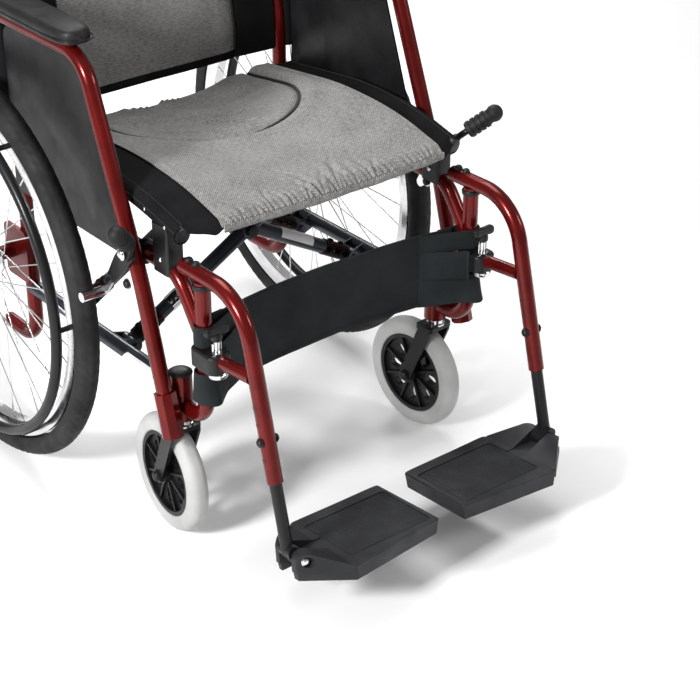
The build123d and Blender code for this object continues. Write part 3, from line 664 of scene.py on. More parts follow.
def seat_point(x, y, lift=0.0):
    return mm(x, y, seat_z(x, y) + panel_height(x, y) + lift)


def blend_seat(piece):
    """Bake a seat piece's placement into its mesh. On the chair the seat hangs between the two seat rails, which
    ride on the two braces.
    """
    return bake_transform(piece)


def panel_outline(u, v):
    """Panel coordinates: u across from right to left, v from front to rear, denser to the front."""
    x = (2 * u - 1) * PANEL_HALF
    y = SEAT_FRONT + (SEAT_REAR - SEAT_FRONT) * (0.45 * v + 0.55 * v * v)
    return x, y


PAD_T, EDGE_T = 9.0, 1.6


def panel_depth(u, v):
    """The pad's thickness in metres: thin at its seams, full a little way in."""
    x, y = panel_outline(u, v)
    inside = smooth_step(min(PANEL_HALF - abs(x), y - SEAT_FRONT, SEAT_REAR - y) / 22)
    return (EDGE_T + (PAD_T - EDGE_T) * inside + max(0.0, gather_height(x, y)) * 0.6) * MM


panel = Build()
panel.sheet(290, 160, lambda u, v: seat_point(*panel_outline(u, v)), PAD_T * MM, panel_depth)
seat_panel = panel.object("seat_panel", SEAT_CLOTH, crease=60)
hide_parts("seat_cushion")
blend_seat(seat_panel)


def hem_point(u, v):
    """The hem below the front seam: a soft band that hangs in small waves."""
    x = (2 * u - 1) * (PANEL_HALF - 0.5)
    wave = noise.noise(Vector((x * 0.035, 0, 5))) * 2.0 + noise.noise(Vector((x * 0.11, 2, 5))) * 0.7
    drop = HEM_DROP + noise.noise(Vector((x * 0.02, 9, 1))) * 1.2
    pucker = (gather_height(x, SEAT_FRONT) - 1.5) * (1 - smooth_step(v / 0.35)) * 0.6
    top = seat_z(x, SEAT_FRONT) + pucker + 0.8
    return mm(x, SEAT_FRONT - 1.4 - 1.2 * math.sin(math.pi * v) + wave * v, top - drop * v)


hem = Build()
hem.sheet(150, 8, hem_point, 0.0022)
seat_hem = hem.object("seat_hem", SEAT_CLOTH, crease=60)
blend_seat(seat_hem)

thread = Build()
STITCH, STITCH_GAP = 6.5, 1.6
stitch_x = -PANEL_HALF + 3
while stitch_x < PANEL_HALF - 6:
    run = []
    for k in range(4):
        x = stitch_x + STITCH * k / 3
        dip = -0.5 if k in (0, 3) else 0.6
        on_hem = hem_point((x / (PANEL_HALF - 0.5) + 1) / 2, 0.3)
        run.append(on_hem + mm(0, -0.7 - dip * 0.4, dip * 0.3))
    thread.tube(run, 0.0008, 6)
    stitch_x += STITCH + STITCH_GAP
seat_thread = thread.object("seat_stitching", THREAD)
blend_seat(seat_thread)


def contour_path():
    """The contour seam's points, from the right rear round the front to the left rear."""
    points = [(-CONTOUR_A, y) for y in range(155, int(CONTOUR_Y), -5)]
    for k in range(0, 121):
        a = math.pi + math.pi * k / 120
        points.append((CONTOUR_A * math.cos(a), CONTOUR_Y + CONTOUR_B * math.sin(a)))
    points += [(CONTOUR_A, y) for y in range(int(CONTOUR_Y) + 5, 160, 5)]
    return points


piping = Build()
piping_run = []
for x, y in contour_path():
    sunk = 2.6 * smooth_step((40 - x) / 40) * smooth_step((20 - y) / 40)
    piping_run.append(seat_point(x, y, 1.6 - sunk))
piping.tube(piping_run, 0.0026, 10)
seat_piping = piping.object("seat_piping", PIPING)
blend_seat(seat_piping)

# The black side of the seat runs from the panel's edge over the rail and round under it.
WRAP_R = RAIL_R + 1.5
CORNER_BACK = 26.0


def side_section(y, u):
    """(x, z) across the black side at a place along the rail: u 0 at the panel, 1 under the rail."""
    top = edge_z(y) - 3.0
    if u < 0.4:
        t = u / 0.4
        x = PANEL_HALF - 4 + t * (RAIL_X - PANEL_HALF)
        rail_top = rail_z(y) + WRAP_R
        blend = smooth_step(t)
        return x, top * (1 - blend) + rail_top * blend - 1.5 * math.sin(math.pi * t)
    a = math.radians(109 - (u - 0.4) / 0.6 * 290)
    return RAIL_X + WRAP_R * math.cos(a), rail_z(y) + WRAP_R * math.sin(a)


def side_point(sign, u, v):
    out = smooth_step(min(1.0, u / 0.55))
    y_front = SEAT_FRONT + 2 + CORNER_BACK * out
    y = y_front + (SEAT_REAR - y_front) * v
    x, z = side_section(y, u)
    crumple = noise.noise(Vector((x * 0.03, y * 0.02, sign * 5.0))) * 1.4 * bell((u - 0.2) / 0.2)
    droop = 0.0
    if v < 0.03 and u < 0.45:
        droop = (0.03 - v) / 0.03 * (4 + 9 * smooth_step(u / 0.12) * (1 - u / 0.6))
        y -= 1.5 * math.sin(math.pi * (0.03 - v) / 0.03)
    return mm(sign * x, y, z + crumple - droop)


def seam_run(sign, angle, lift):
    """A line along the wrapped rail, at an angle round it."""
    points = []
    for k in range(40):
        y = SEAT_FRONT + CORNER_BACK + 4 + (SEAT_REAR - SEAT_FRONT - CORNER_BACK - 6) * k / 39
        a = math.radians(angle)
        r = WRAP_R + lift
        points.append(mm(sign * (RAIL_X + r * math.cos(a)), y, rail_z(y) + r * math.sin(a)))
    return points


for side, sign in SIDES.items():
    carrier = "right_brace" if side == "left" else "left_brace"
    wrap = Build()
    wrap.sheet(44, 150, lambda u, v: side_point(sign, u, v), sign * 0.0012)
    made = wrap.object(f"{side}_seat_side", NYLON, carrier, crease=60)
    seams = Build()
    seams.tube(seam_run(sign, 25, 0.2), 0.0006, 6)
    seams.tube(seam_run(sign, 100, 0.2), 0.0006, 6)
    seams.object(f"{side}_seat_side_seams", THREAD, carrier)
    screws = Build()
    for y in (-201, -155, -60, 40, 130):
        a = math.radians(8)
        at = mm(sign * (RAIL_X + WRAP_R * math.cos(a)), y, rail_z(y) + WRAP_R * math.sin(a))
        screws.dome(at, (sign, 0, 0.14), 0.0026, 0.0014)
    screws.object(f"{side}_seat_screws", CHROME, carrier)
    plugs = Build()
    front_y, rear_y = rail_lo.y / MM, rail_hi.y / MM
    for y, way in ((front_y + 2.7, -1), (rear_y - 2.0, 1)):
        slope = Vector((0, 1, FRONT_SLOPE if way < 0 else REAR_SLOPE)).normalized() * way
        cap = [(0.0, RAIL_R + 0.3), (0.8, RAIL_R + 0.3), (1.5, RAIL_R - 1.0), (1.7, 1.0)]
        plugs.turned([(d * MM, r * MM) for d, r in cap], mm(sign * RAIL_X, y, rail_z(y)), slope, 32)
    plugs.object(f"{side}_seat_rail_plugs", PLASTIC, carrier)

# ---------------------------------------------------------------- back
back_lo, back_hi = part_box("back_upholstery")
CANE_X = sum(c.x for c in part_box("left_back_cane")) / 2 / MM
BACK_HALF = back_hi.x / MM - 1
BACK_Z = (back_lo.z / MM, back_hi.z / MM)
BACK_BEND_Z, BACK_LEAN = 560.0, 0.14
BACK_FRONT_Y = back_lo.y / MM
SLING = 9.0
# The padded grey panel on the back's front: its half width, and the height of its cross seam.
PAD_HALF, PAD_SEAM_Z = 150, 690


def cane_shift(z):
    """How far the leaning upper part of the uprights has moved to the rear."""
    return max(0.0, z - BACK_BEND_Z) * BACK_LEAN


def back_point(u, v):
    x = (2 * u - 1) * BACK_HALF
    z = BACK_Z[0] + (BACK_Z[1] - BACK_Z[0]) * v
    half = 1 - (abs(x) / BACK_HALF) ** 2
    sag_top = 6 * half * smooth_step((v - 0.85) / 0.15)
    side_seam = bell((abs(x) - PAD_HALF) / 4)
    cross_seam = bell((z - PAD_SEAM_Z) / 4) * smooth_step((PAD_HALF - abs(x)) / 10)
    inset = side_seam * 2.5 + cross_seam * 2.5
    puff = 3.5 * smooth_step((PAD_HALF - abs(x)) / 25) * smooth_step(abs(z - PAD_SEAM_Z) / 30)
    soft = noise.noise(Vector((x * 0.012, z * 0.016, 2))) * 2.2
    y = BACK_FRONT_Y + 3 + cane_shift(z) + SLING * half - puff + inset + soft
    return mm(x, y, z - sag_top)


back = Build()
back.sheet(120, 110, back_point, 0.011)
for index, corners in enumerate(back.faces):
    center = sum((back.verts[i] for i in corners), Vector()) / len(corners)
    inner = abs(center.x) < PAD_HALF * MM and back_lo.z + 0.012 < center.z < back_hi.z - 0.03
    in_front = center.y / MM < BACK_FRONT_Y + 3 + cane_shift(center.z / MM) + SLING + 1.5
    on_front_layer = corners[0] < len(back.verts) // 2
    back.slots[index] = int(inner and in_front and on_front_layer)
back_piece = back.object("back_sling", [NYLON, SEAT_CLOTH], crease=60)
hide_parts("back_upholstery")
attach(back_piece, "right_side")
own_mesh(back_piece)


def squashed(build, name, material):
    """A piece on the right side frame, with a mesh of its own."""
    made = build.object(name, material, "right_side")
    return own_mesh(made)


trim = Build()
for sign in (-1, 1):
    run = []
    for k in range(50):
        v = 0.035 + 0.90 * k / 49
        run.append(back_point(0.5 + sign * PAD_HALF / BACK_HALF / 2, v) - mm(0, 1.0, 0))
    trim.tube(run, 0.0022, 8)
run = []
for k in range(50):
    u = 0.5 + PAD_HALF / BACK_HALF / 2 * (2 * k / 49 - 1)
    run.append(back_point(u, (PAD_SEAM_Z - BACK_Z[0]) / (BACK_Z[1] - BACK_Z[0])) - mm(0, 0.5, 0))
trim.tube(run, 0.0016, 8)
squashed(trim, "back_piping", PIPING)

for side, sign in SIDES.items():
    sleeve = Build()
    rings = []
    for k in range(60):
        z = BACK_Z[0] + 2 + (BACK_Z[1] - BACK_Z[0] - 4) * k / 59
        y = (BACK_FRONT_Y + (back_hi.y / MM - cane_shift(BACK_Z[1]))) / 2 + cane_shift(z)
        ring = []
        for j in range(28):
            a = 2 * math.pi * j / 28
            r = WRAP_R + 0.5 + 0.5 * noise.noise(Vector((a, z * 0.04, sign)))
            ring.append(mm(sign * CANE_X + r * math.cos(a), y + r * math.sin(a), z))
        rings.append(ring)
    sleeve.rings(rings, caps=False)
    made = sleeve.object(f"{side}_back_sleeve", NYLON, f"{side}_side", crease=60)
    solid = made.modifiers.new("thick", "SOLIDIFY")
    solid.thickness, solid.offset = 0.0009, -1

# ---------------------------------------------------------------- calf strap
strap_lo, strap_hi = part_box("calf_strap")
STRAP_HALF = strap_hi.x / MM - 0.5
STRAP_Z = (strap_lo.z / MM, strap_hi.z / MM)
STRAP_END_Y = strap_lo.y / MM
STRAP_SAG_Y = strap_hi.y / MM - 4
post = joint_at("left_footrest_swing")
POST_X, POST_Y = post.x / MM, post.y / MM
STRAP_T = 3.0


def strap_point(u, v):
    x = (2 * u - 1) * STRAP_HALF
    z = STRAP_Z[0] + (STRAP_Z[1] - STRAP_Z[0]) * v
    half = 1 - (abs(x) / STRAP_HALF) ** 2
    end = smooth_step((abs(x) - 150) / 60)
    pull = end * 2.2 * math.sin(z * 0.11 + x * 0.04) * noise.noise(Vector((x * 0.05, z * 0.03, 6)))
    soft = noise.noise(Vector((x * 0.01, z * 0.018, 4))) * 3.0 * half
    crown = 3.0 * half * math.sin(math.pi * v)
    y = STRAP_END_Y + (STRAP_SAG_Y - STRAP_END_Y) * half + soft + pull - crown * 0.5
    dip = 2.5 * half * (v - 0.2) + 2.0 * (1 - half) * (v - 0.5)
    return mm(x, y, z - dip)


strap = Build()
strap.sheet(150, 36, strap_point, STRAP_T * MM)
strap_piece = strap.object("calf_strap_band", STRAP_CLOTH, "right_side", crease=60)
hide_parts("calf_strap")
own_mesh(strap_piece)

strap_stitches = Build()
for v in (0.05, 0.95):
    run = [strap_point(k / 160, v) - mm(0, 0.2, 0) for k in range(3, 158)]
    strap_stitches.tube(run, 0.0005, 6)
squashed(strap_stitches, "calf_strap_seams", THREAD)

block_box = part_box("left_latch_block")
block_low, block_high = block_box[0].z / MM, block_box[1].z / MM
DISC_T = 8.0


def strap_at(x, v):
    """The strap's front surface at a distance from the middle."""
    return strap_point((x / STRAP_HALF + 1) / 2, v) / MM


def loop_plan(radius, front, rear):
    """Plan of a loop about the post: from the strap's front, round the post, to the strap's back."""
    first = math.atan2(front.y, front.x) + math.acos(radius / front.length)
    last = math.atan2(rear.y, rear.x) - math.acos(radius / rear.length) + 2 * math.pi
    arc = []
    for k in range(28):
        a = first + (last - first) * k / 27
        arc.append(radius * Vector((math.cos(a), math.sin(a))))
    run_in = [front.lerp(arc[0], k / 16) for k in range(16)]
    run_out = [arc[-1].lerp(rear, k / 10) for k in range(1, 11)]
    return run_in + arc + run_out


# Each loop: lowest and highest z at the post, radius, looseness, and how far round it goes.
LOOP_SHAPES = {
    "upper": (block_high + 2.5, STRAP_Z[1] + 0.5, 14.5, 0.0, 1.0),
    "middle": (block_low - DISC_T - 6, block_high + 4, 25.5, 0.0, 0.31),
    "lower": (STRAP_Z[0] + 5, block_low - DISC_T - 4.0, 15.5, 9.0, 1.0),
}
LOOP_FRONT_X, LOOP_REAR_X = 158, 190
for side, sign in SIDES.items():
    for name, (low, high, radius, flare, share) in LOOP_SHAPES.items():

        def loop_point(u, v):
            z = low + (high - low) * v
            strap_v = (z - STRAP_Z[0]) / (STRAP_Z[1] - STRAP_Z[0])
            if name == "lower":
                strap_v = strap_v - 0.045 * (1 - v)
            if name == "upper":
                strap_v = strap_v - 0.006 * v
            front = strap_at(sign * LOOP_FRONT_X, strap_v)
            rear = strap_at(sign * LOOP_REAR_X, strap_v)
            front_plan = Vector((LOOP_FRONT_X - POST_X, front.y - 0.7 - POST_Y))
            rear_plan = Vector((LOOP_REAR_X - POST_X, rear.y + STRAP_T + 1.2 - POST_Y))
            plan = loop_plan(radius + 0.35 * flare * (1 - v), front_plan, rear_plan)
            at = u * share * (len(plan) - 1)
            k = min(int(at), len(plan) - 2)
            p = plan[k].lerp(plan[k + 1], at - k)
            out = smooth_step((p.x + 72) / 60)
            ripple = noise.noise(Vector((p.x * 0.06, z * 0.05, sign * 3 + p.y * 0.06))) * 1.1
            ahead = flare * (1 - v) ** 1.4 * max(0.0, -p.y / max(1.0, p.length)) * out
            spread = p * (1 + ripple / max(12.0, p.length) * out)
            if share < 1:
                spread.x = min(spread.x, -19.6)
            height = front.z * (1 - out) + z * out
            return mm(sign * (POST_X + spread.x), POST_Y + spread.y - ahead, height)

        loop = Build()
        loop.sheet(60, 24, loop_point, sign * 0.0014)
        made = loop.object(f"{side}_strap_{name}_loop", STRAP_CLOTH, f"{side}_side", crease=60)

# ---------------------------------------------------------------- arm pads
for side, sign in SIDES.items():
    pad_lo, pad_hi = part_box(f"{side}_arm_pad")
    center = (pad_lo + pad_hi) / 2
    half = (pad_hi - pad_lo) / 2
    pad = Build()
    rings = []
    STEPS = 44
    for k in range(STEPS + 1):
        t = -1 + 2 * k / STEPS
        end = (1 - abs(t) ** 6) ** 0.35 if abs(t) < 1 else 0.02
        y = center.y + half.y * t
        ring = []
        for j in range(40):
            a = 2 * math.pi * j / 40
            c, s = math.cos(a), math.sin(a)
            x = half.x * math.copysign(abs(c) ** 0.6, c) * max(0.05, end)
            power = 0.75 if s > 0 else 0.35
            z = half.z * math.copysign(abs(s) ** power, s) * (0.35 + 0.65 * max(0.05, end))
            if s > 0:
                z += 0.0006 * noise.noise(Vector((x * 60, y * 40, sign)))
            ring.append(Vector((center.x + x, y, center.z + z)))
        rings.append(ring)
    pad.rings(rings)
    made = pad.object(f"{side}_arm_cushion", VINYL, f"{side}_side", crease=50)
    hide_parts(f"{side}_arm_pad")
    seam = Build()
    run = []
    for k in range(80):
        a = 2 * math.pi * k / 80
        c, s = math.cos(a), math.sin(a)
        x = (half.x + 0.0002) * math.copysign(abs(c) ** 0.32, c)
        y = (half.y + 0.0002) * math.copysign(abs(s) ** 0.22, s)
        run.append(Vector((center.x + x * 0.985, center.y + y * 0.99, center.z - 0.004)))
    seam.tube(run, 0.0011, 6, loop=True)
    seam.object(f"{side}_arm_cushion_seam", VINYL, f"{side}_side")

# ---------------------------------------------------------------- footplate ribs
RIBS = 27
for side, sign in SIDES.items():
    pivot = joint_at(f"{side}_footplate_flip")
    axis = Vector(joints[f"{side}_footplate_flip"]["axis"]) * sign
    rear = Vector((0, abs(axis.y), abs(axis.z) * (1 if axis.z * axis.y > 0 else -1)))
    up = Vector((0, -rear.z, rear.y))
    across = Vector((1, 0, 0))
    center = Vector((sign * 0.101, pivot.y, pivot.z)) - rear * 0.001
    top = center - up * 0.006
    ribs = Build()
    width, length = 0.134, 0.099
    floor_z = -0.0014

    def rib_point(u, v):
        along = (v - 0.5) * length
        phase = (v * RIBS) % 1.0
        height = 0.0018 * smooth_step(min(phase, 1 - phase) / 0.3)
        x = (u - 0.5) * width
        border = smooth_step(min(u, 1 - u) * width / 0.0022)
        return top + across * x + rear * along + up * (floor_z + 0.0002 + height * border)

    ribs.sheet(12, RIBS * 8, rib_point, 0.0006)
    ribs.object(f"{side}_footplate_ribs", PLATE, f"{side}_foot", crease=70)

# ---------------------------------------------------------------- rear tyres
TREAD_BLOCKS = 110
for side, sign in SIDES.items():
    lo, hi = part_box(f"{side}_rear_tyre")
    center = (lo + hi) / 2
    outer = (hi.z - lo.z) / 2
    section = (hi.x - lo.x) / 2
    bead = 0.272
    tyre = Build()
    turns, spans = TREAD_BLOCKS * 4, 30
    rings = []
    for i in range(turns):
        a = 2 * math.pi * i / turns
        ring = []
        for j in range(spans + 1):
            b = math.radians(-132 + 264 * j / spans)
            x, r = section * math.sin(b), outer - section + section * math.cos(b)
            on_tread = smooth_step((52 - abs(math.degrees(b))) / 6)
            lane = abs(math.degrees(b)) / 13
            groove = 1 - smooth_step(abs(lane - round(lane)) / 0.22) if 0.5 < lane < 3.6 else 0
            shift = 2 if int(lane + 0.5) % 2 else 0
            sipe = 1 if (i + shift + int(abs(b) * 4)) % 4 == 0 and lane > 0.55 else 0
            cut = 0.0011 * on_tread * max(groove, sipe)
            rib = 0.0004 * (1 - on_tread) * (i % 4 == 0) * smooth_step((80 - abs(math.degrees(b))) / 10)
            depth = 1 - (cut - rib) / section
            x, r = x * depth, outer - section + (r - outer + section) * depth
            r = max(r, bead + 0.0004)
            ring.append(Vector((center.x + x, center.y + r * math.cos(a), center.z + r * math.sin(a))))
        rings.append(ring)
    tyre.rings(rings, loop=True)
    made = tyre.object(f"{side}_tyre", TYRE, f"{side}_rear_wheel", crease=40)
    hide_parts(f"{side}_rear_tyre")

# ---------------------------------------------------------------- bolts, caps and small fittings
UP = (0, 0, 1)
TUBE_R = 0.0111
LEG_SLOPE = 0.2512
HOLE_PITCH = 0.0235
FOOT_BOLT_REACH = 0.0284
HOUSING_TOP, CROWN_TOP = 0.269, 0.188
GRIP_BALL_R = 0.0103
BALL_Y, BEND_Y, BEND_Z = -0.211, -0.1747, 0.4684
# Turned shapes, as (distance along the axis, radius) in metres.
BUSH = [(-0.0005, 0.0112), (0.0, 0.0131), (0.0045, 0.0136), (0.0062, 0.0128), (0.0066, 0.0112)]
LATCH_HUB = [(0.0, 0.0058), (0.002, 0.0076), (0.006, 0.0080), (0.0115, 0.0072), (0.014, 0.0056)]
LATCH_SHANK = [(0.0, 0.0086), (0.0014, 0.0086), (0.0016, 0.0042), (0.0200, 0.0042)]
HOUSING_CAP = [
    (-0.001, 0.0150), (0.0, 0.0171), (0.0016, 0.0173), (0.0034, 0.0150), (0.0044, 0.009), (0.0046, 0.001)
]
HOLE_CUP = [(0.0, 0.0027), (0.0017, 0.0027), (0.00195, 0.0031), (0.0013, 0.0036)]
# The hole's shallow black floor: painted shade for the dark inside of the hole.
HOLE_SHADE_FLOOR = [(0.0012, 0.00275), (0.0013, 0.0001)]
NUT_FLANGE = [(0, 0.0150), (0.0018, 0.0150), (0.0020, 0.0136)]


def washer_profile(radius, thick):
    return [(0, radius), (thick, radius)]


def hanger_fittings(side, sign):
    """Bolts, washers and spare holes of a footrest, and the bush between it and the post."""
    hanger = f"{side}_hanger"
    bolts = sorted(loose_boxes(f"{side}_hanger_bolts"), key=lambda b: -b[1].z)
    top_bolts = [b for b in bolts if b[0].z > 0.44]
    washer = next(b for b in bolts if 0.28 < b[0].z < 0.44)
    height_bolt = next(b for b in bolts if 0.2 < b[0].z < 0.28)

    black_heads = Build()
    for lo, hi in top_bolts:
        at = (lo + hi) / 2
        black_heads.dome(Vector((at.x, at.y, lo.z - 0.001)), UP, 0.0056, 0.0052, 0.0022, 0.0064)
    at = (height_bolt[0] + height_bolt[1]) / 2
    reach = (height_bolt[1].x - height_bolt[0].x) / 2 - 0.004
    for way in (-1, 1):
        head_at = at + Vector((way * reach, 0, 0))
        black_heads.dome(head_at, (way, 0, 0), 0.0058, 0.0052, 0.0023, 0.007)
    made = black_heads.object(f"{side}_hanger_bolt_heads", PLASTIC, hanger)
    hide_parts(f"{side}_hanger_bolts")

    steel = Build()
    at = (washer[0] + washer[1]) / 2
    disc_r = (washer[1].x - washer[0].x) / 2
    shares = [(0, 0.8), (0.0006, 0.95), (0.002, 1), (0.0065, 1), (0.0078, 0.93)]
    disc = [(along, disc_r * share) for along, share in shares]
    steel.turned(disc, Vector((at.x, at.y, washer[0].z)), UP, 40)
    pivot = joint_at(f"{side}_footplate_flip")
    foot_axis = Vector(joints[f"{side}_footplate_flip"]["axis"])
    if foot_axis.y < 0:
        foot_axis = -foot_axis
    for way in (-1, 1):
        seat_at = pivot + foot_axis * way * FOOT_BOLT_REACH
        steel.turned(washer_profile(0.0072, 0.0010), seat_at, foot_axis * way, 28)
        steel.dome(seat_at + foot_axis * way * 0.001, foot_axis * way, 0.0056, 0.0036, 0.0024)
    steel.turned([(-FOOT_BOLT_REACH, 0.0039), (FOOT_BOLT_REACH, 0.0039)], pivot, foot_axis, 20)
    steel.object(f"{side}_hanger_steel", CHROME, hanger)

    # Spare height holes through the leg, each a dark cup in a thin bright lip: the cup's black walls and shallow
    # floor are painted shade for the hole's dark inside.
    holes = Build()
    leg_lo, leg_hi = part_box(f"{side}_hanger_tube")
    leg_x = (leg_lo.x + leg_hi.x) / 2
    bolt_at = (height_bolt[0] + height_bolt[1]) / 2
    for step in (-1, 1, 2):
        z = bolt_at.z + HOLE_PITCH * step
        y = bolt_at.y + HOLE_PITCH * step * LEG_SLOPE
        for way in (-1, 1):
            cup_at = Vector((leg_x + way * (TUBE_R - 0.0016), y, z))
            holes.turned(HOLE_CUP, cup_at, (way, 0, 0), 20, caps=False)
            holes.turned(HOLE_SHADE_FLOOR, cup_at, (way, 0, 0), 20, caps=False)
    holes.object(f"{side}_height_holes", PLASTIC, hanger)

    post_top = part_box(f"{side}_front_post")[1].z
    bush = Build()
    bush.turned(BUSH, (sign * POST_X * MM, POST_Y * MM, post_top + 0.0004), UP, 36)
    bush.object(f"{side}_post_bush", PLASTIC, hanger)


def latch(side):
    """A T handle on a bright pin."""
    knob_lo, knob_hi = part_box(f"{side}_latch_lever")
    knob = (knob_lo + knob_hi) / 2
    handle = Build()
    half_bar = (knob_hi.x - knob_lo.x) / 2
    rings = []
    for k in range(21):
        t = -1 + k / 10
        wide = 0.0058 + 0.0008 * t * t
        tall = 0.0060 + 0.0010 * t * t
        shrink = max(0.08, 1 - abs(t) ** 9) ** 0.5
        ring = []
        for j in range(24):
            a = 2 * math.pi * j / 24
            c, s = math.cos(a), math.sin(a)
            dy = wide * shrink * math.copysign(abs(c) ** 0.65, c)
            dz = tall * shrink * math.copysign(abs(s) ** 0.65, s)
            ring.append(Vector((knob.x + t * half_bar, knob.y + dy, knob_hi.z - 0.0071 + dz)))
        rings.append(ring)
    handle.rings(rings)
    handle.turned(LATCH_HUB, (knob.x, knob.y, knob_hi.z - 0.0225), UP, 28)
    made = handle.object(f"{side}_latch_handle", PLASTIC, f"{side}_latch")
    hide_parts(f"{side}_latch_lever")
    pin = Build()
    pin.turned(LATCH_SHANK, (knob.x, knob.y, knob_lo.z), UP, 28)
    for way in (-1, 1):
        wall = [mm(0, 0, 1.5), mm(0, 0, 15.0)]
        pin.tube([Vector((knob.x + way * 0.0062, knob.y, knob_lo.z)) + p for p in wall], 0.0014, 8)
    pin.object(f"{side}_latch_pin", CHROME, f"{side}_latch")



def caster_fittings(side):
    """A cap on the caster's housing, a bright nut under it and end caps on the axle."""
    stem = joint_at(f"{side}_caster_turn")
    cap = Build()
    cap.turned(HOUSING_CAP, (stem.x, stem.y, HOUSING_TOP), UP, 36)
    cap.object(f"{side}_housing_cap", PLASTIC, f"{side}_side")
    nut = Build()
    nut.turned(NUT_FLANGE, (stem.x, stem.y, CROWN_TOP), UP, 32)
    nut.turned([(0.0021, 0.0136), (0.0098, 0.0136)], (stem.x, stem.y, CROWN_TOP), UP, 6)
    nut.object(f"{side}_stem_nut", CHROME, f"{side}_caster_swivel")
    axle = joint_at(f"{side}_caster_spin")
    axle_dir = Vector(joints[f"{side}_caster_spin"]["axis"]).normalized()
    ends = Build()
    for way in (-1, 1):
        ends.turned([(0, 0.0092), (0.0015, 0.0092)], axle + axle_dir * way * 0.0232, axle_dir * way, 28)
        ends.dome(axle + axle_dir * way * 0.0247, axle_dir * way, 0.0076, 0.0052, 0.003)
    ends.object(f"{side}_caster_bolts", PLASTIC, f"{side}_caster_swivel")


def brake_fittings(side, sign):
    """The brake lever's ribbed grip with its ball end, and its pivot screw."""
    lever_pivot = joint_at(f"{side}_brake")
    lever_lo, lever_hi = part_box(f"{side}_brake_lever")
    ball_x = sign * (max(abs(lever_lo.x), abs(lever_hi.x)) - GRIP_BALL_R)
    ball = Vector((ball_x, BALL_Y, lever_hi.z - GRIP_BALL_R))
    along = (ball - Vector((lever_pivot.x, BEND_Y, BEND_Z))).normalized()
    grip = Build()
    profile = [(-0.0475, 0.0090), (-0.0468, 0.0116)]
    for rib in range(4):
        start = -0.0455 + rib * 0.0088
        steps = ((0, 0.0114), (0.0008, 0.0130), (0.0058, 0.0130), (0.0068, 0.0113))
        profile += [(start + along_rib, radius) for along_rib, radius in steps]
    profile += [(-0.0092, 0.0108), (-0.0079, 0.0108)]
    for k in range(1, 14):
        a = math.radians(-38 + 128 * k / 13)
        profile.append((0.0128 * math.sin(a), 0.0128 * math.cos(a) if k < 13 else 0.0004))
    grip.turned(profile, ball, along, 36)
    grip.object(f"{side}_brake_grip", RUBBER, f"{side}_brake_handle")
    screws = Build()
    lever_face = Vector((sign * 0.2897, lever_pivot.y, lever_pivot.z))
    screws.dome(lever_face, (sign, 0, 0), 0.0068, 0.004, 0.0028, 0.0085)
    screws.object(f"{side}_brake_screw", CHROME, f"{side}_brake_handle")


def frame_fittings(side, sign):
    """The bolt through the arm tube with its washers, and the screws in the seat's cradles."""
    frame_body = f"{side}_side"
    washers, heads = Build(), Build()
    bolt_at = mm(sign * 274.6, -147.5, 399)
    for offset, way in ((0, 1), (-21.0, -1)):
        out = (sign * way, 0, 0)
        washers.turned(washer_profile(0.0078, 0.0014), bolt_at + mm(sign * offset, 0, 0), out, 28)
        head_at = bolt_at + mm(sign * (offset + 1.4 * way), 0, 0)
        heads.dome(head_at, out, 0.0062, 0.0046, 0.0025)
    washers.object(f"{side}_arm_washers", CHROME, frame_body)
    heads.object(f"{side}_arm_bolts", PLASTIC, frame_body)
    cradle_screws = Build()
    for lo, hi in loose_boxes(f"{side}_seat_cradles"):
        mid = (lo + hi) / 2
        for way in (-1, 1):
            face_x = hi.x if way > 0 else lo.x
            cradle_screws.dome((face_x, mid.y, lo.z + 0.020), (way, 0, 0), 0.0036, 0.0018, 0.0015)
    cradle_screws.object(f"{side}_cradle_screws", CHROME, frame_body)


for side, sign in SIDES.items():
    hanger_fittings(side, sign)
    latch(side)
    caster_fittings(side)
    brake_fittings(side, sign)
    frame_fittings(side, sign)

# ---------------------------------------------------------------- cross brace trim
fold_pivot = joint_at("fold")
cross = joint_at("brace_scissor")
BRACE_R = 0.0111
LABEL_R = BRACE_R + 0.0004


def arm_frame(sign):
    """Direction and upward normal of the arms that stand on this side's lower rail."""
    low = Vector((sign * abs(fold_pivot.x), 0, fold_pivot.z))
    along = (Vector((0, 0, cross.z)) - low).normalized()
    up = Vector((sign * abs(along.z), 0, abs(along.x)))
    return low, along, up


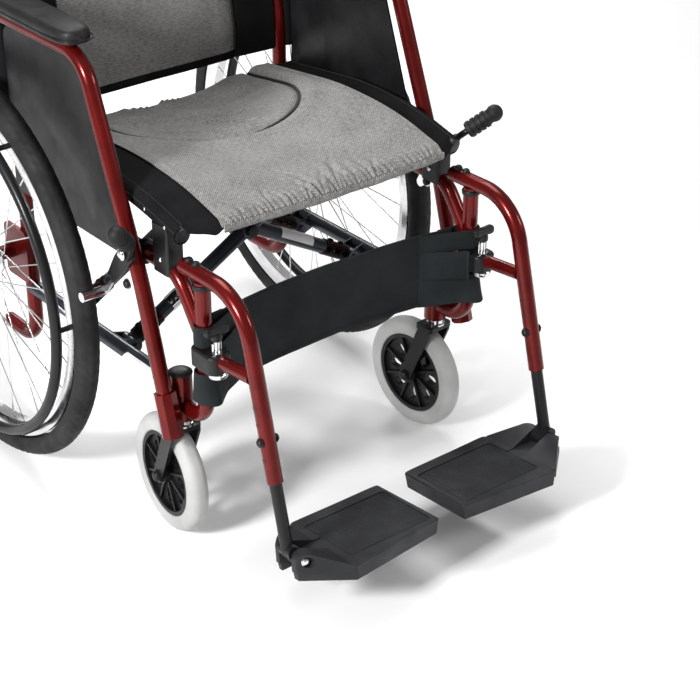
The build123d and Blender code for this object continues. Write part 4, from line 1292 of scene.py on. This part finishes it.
for side, sign in SIDES.items():
    low, along, up = arm_frame(sign)
    body = f"{side}_brace"
    arm_ys = sorted((lo.y + hi.y) / 2 for lo, hi in loose_boxes(f"{side}_cross_brace"))
    ends = Build()
    heads = Build()
    for arm_y in arm_ys:
        level = Vector((0, arm_y, 0))
        start = low + level + along * 0.0135
        profile = [(0, 0.0112), (0.0004, 0.0126), (0.046, 0.0126), (0.0466, 0.0112)]
        ends.turned(profile, start, along, 32)
        for reach in (0.012, 0.034):
            for way in (-1, 1):
                at = start + along * reach + Vector((0, way * 0.0122, 0))
                heads.dome(at, (0, way, 0), 0.0052, 0.0038, 0.002)
            heads.dome(start + along * reach + up * 0.0123, up, 0.0048, 0.0034)
    # The sleeves take the darker copy of the red paint, which is painted shade.
    ends.object(f"{side}_brace_sleeves", SHADED_RED, body)
    heads.object(f"{side}_brace_bolts", PLASTIC, body)


def tube_patch(origin, along, out, length, angle, radius):
    """A thin label wrapped part of the way round a tube, centred on the out direction."""
    along, out = along.normalized(), out.normalized()
    aside = along.cross(out)
    patch = Build()

    def point(u, v):
        a = math.radians((v - 0.5) * angle)
        return origin + along * (u * length) + (out * math.cos(a) + aside * math.sin(a)) * radius

    patch.sheet(16, 16, point, 0.0002)
    return patch


left_low, left_along, left_up = arm_frame(1)
arm_front = min((lo.y + hi.y) / 2 for lo, hi in loose_boxes("left_cross_brace"))
label_start = left_low + Vector((0, arm_front, 0)) + left_along * 0.090
facing = (left_up + Vector((0, -0.8, 0))).normalized()
label = tube_patch(label_start, left_along, facing, 0.068, 118, LABEL_R)
label.object("brace_label", LABEL, "left_brace")

rail_label = Vector((-CANE_X * MM, -0.165, 0.248))
label = tube_patch(rail_label, Vector((0, 1, 0)), Vector((-1, 0, 0.9)), 0.075, 110, LABEL_R)
label.object("rail_label", LABEL, "right_side")

right_low, right_along, right_up = arm_frame(-1)
clip_front = max((lo.y + hi.y) / 2 for lo, hi in loose_boxes("right_cross_brace") if lo.y < 0.04)
clip_at = right_low + Vector((0, clip_front, 0)) + right_along * 0.080
clip = Build()
clip_profile = [(0, 0.0113), (0.0002, 0.0124), (0.022, 0.0124), (0.0222, 0.0113)]
clip.turned(clip_profile, clip_at, right_along, 36)
clip.object("brace_clip", CHROME, "right_brace")
clip_bolts = Build()
clip_face = (right_up + Vector((0, -1.2, 0))).normalized()
for reach in (0.007, 0.016):
    clip_bolts.dome(clip_at + right_along * reach + clip_face * 0.0122, clip_face, 0.0030, 0.002)
clip_bolts.object("brace_clip_bolts", PLASTIC, "right_brace")
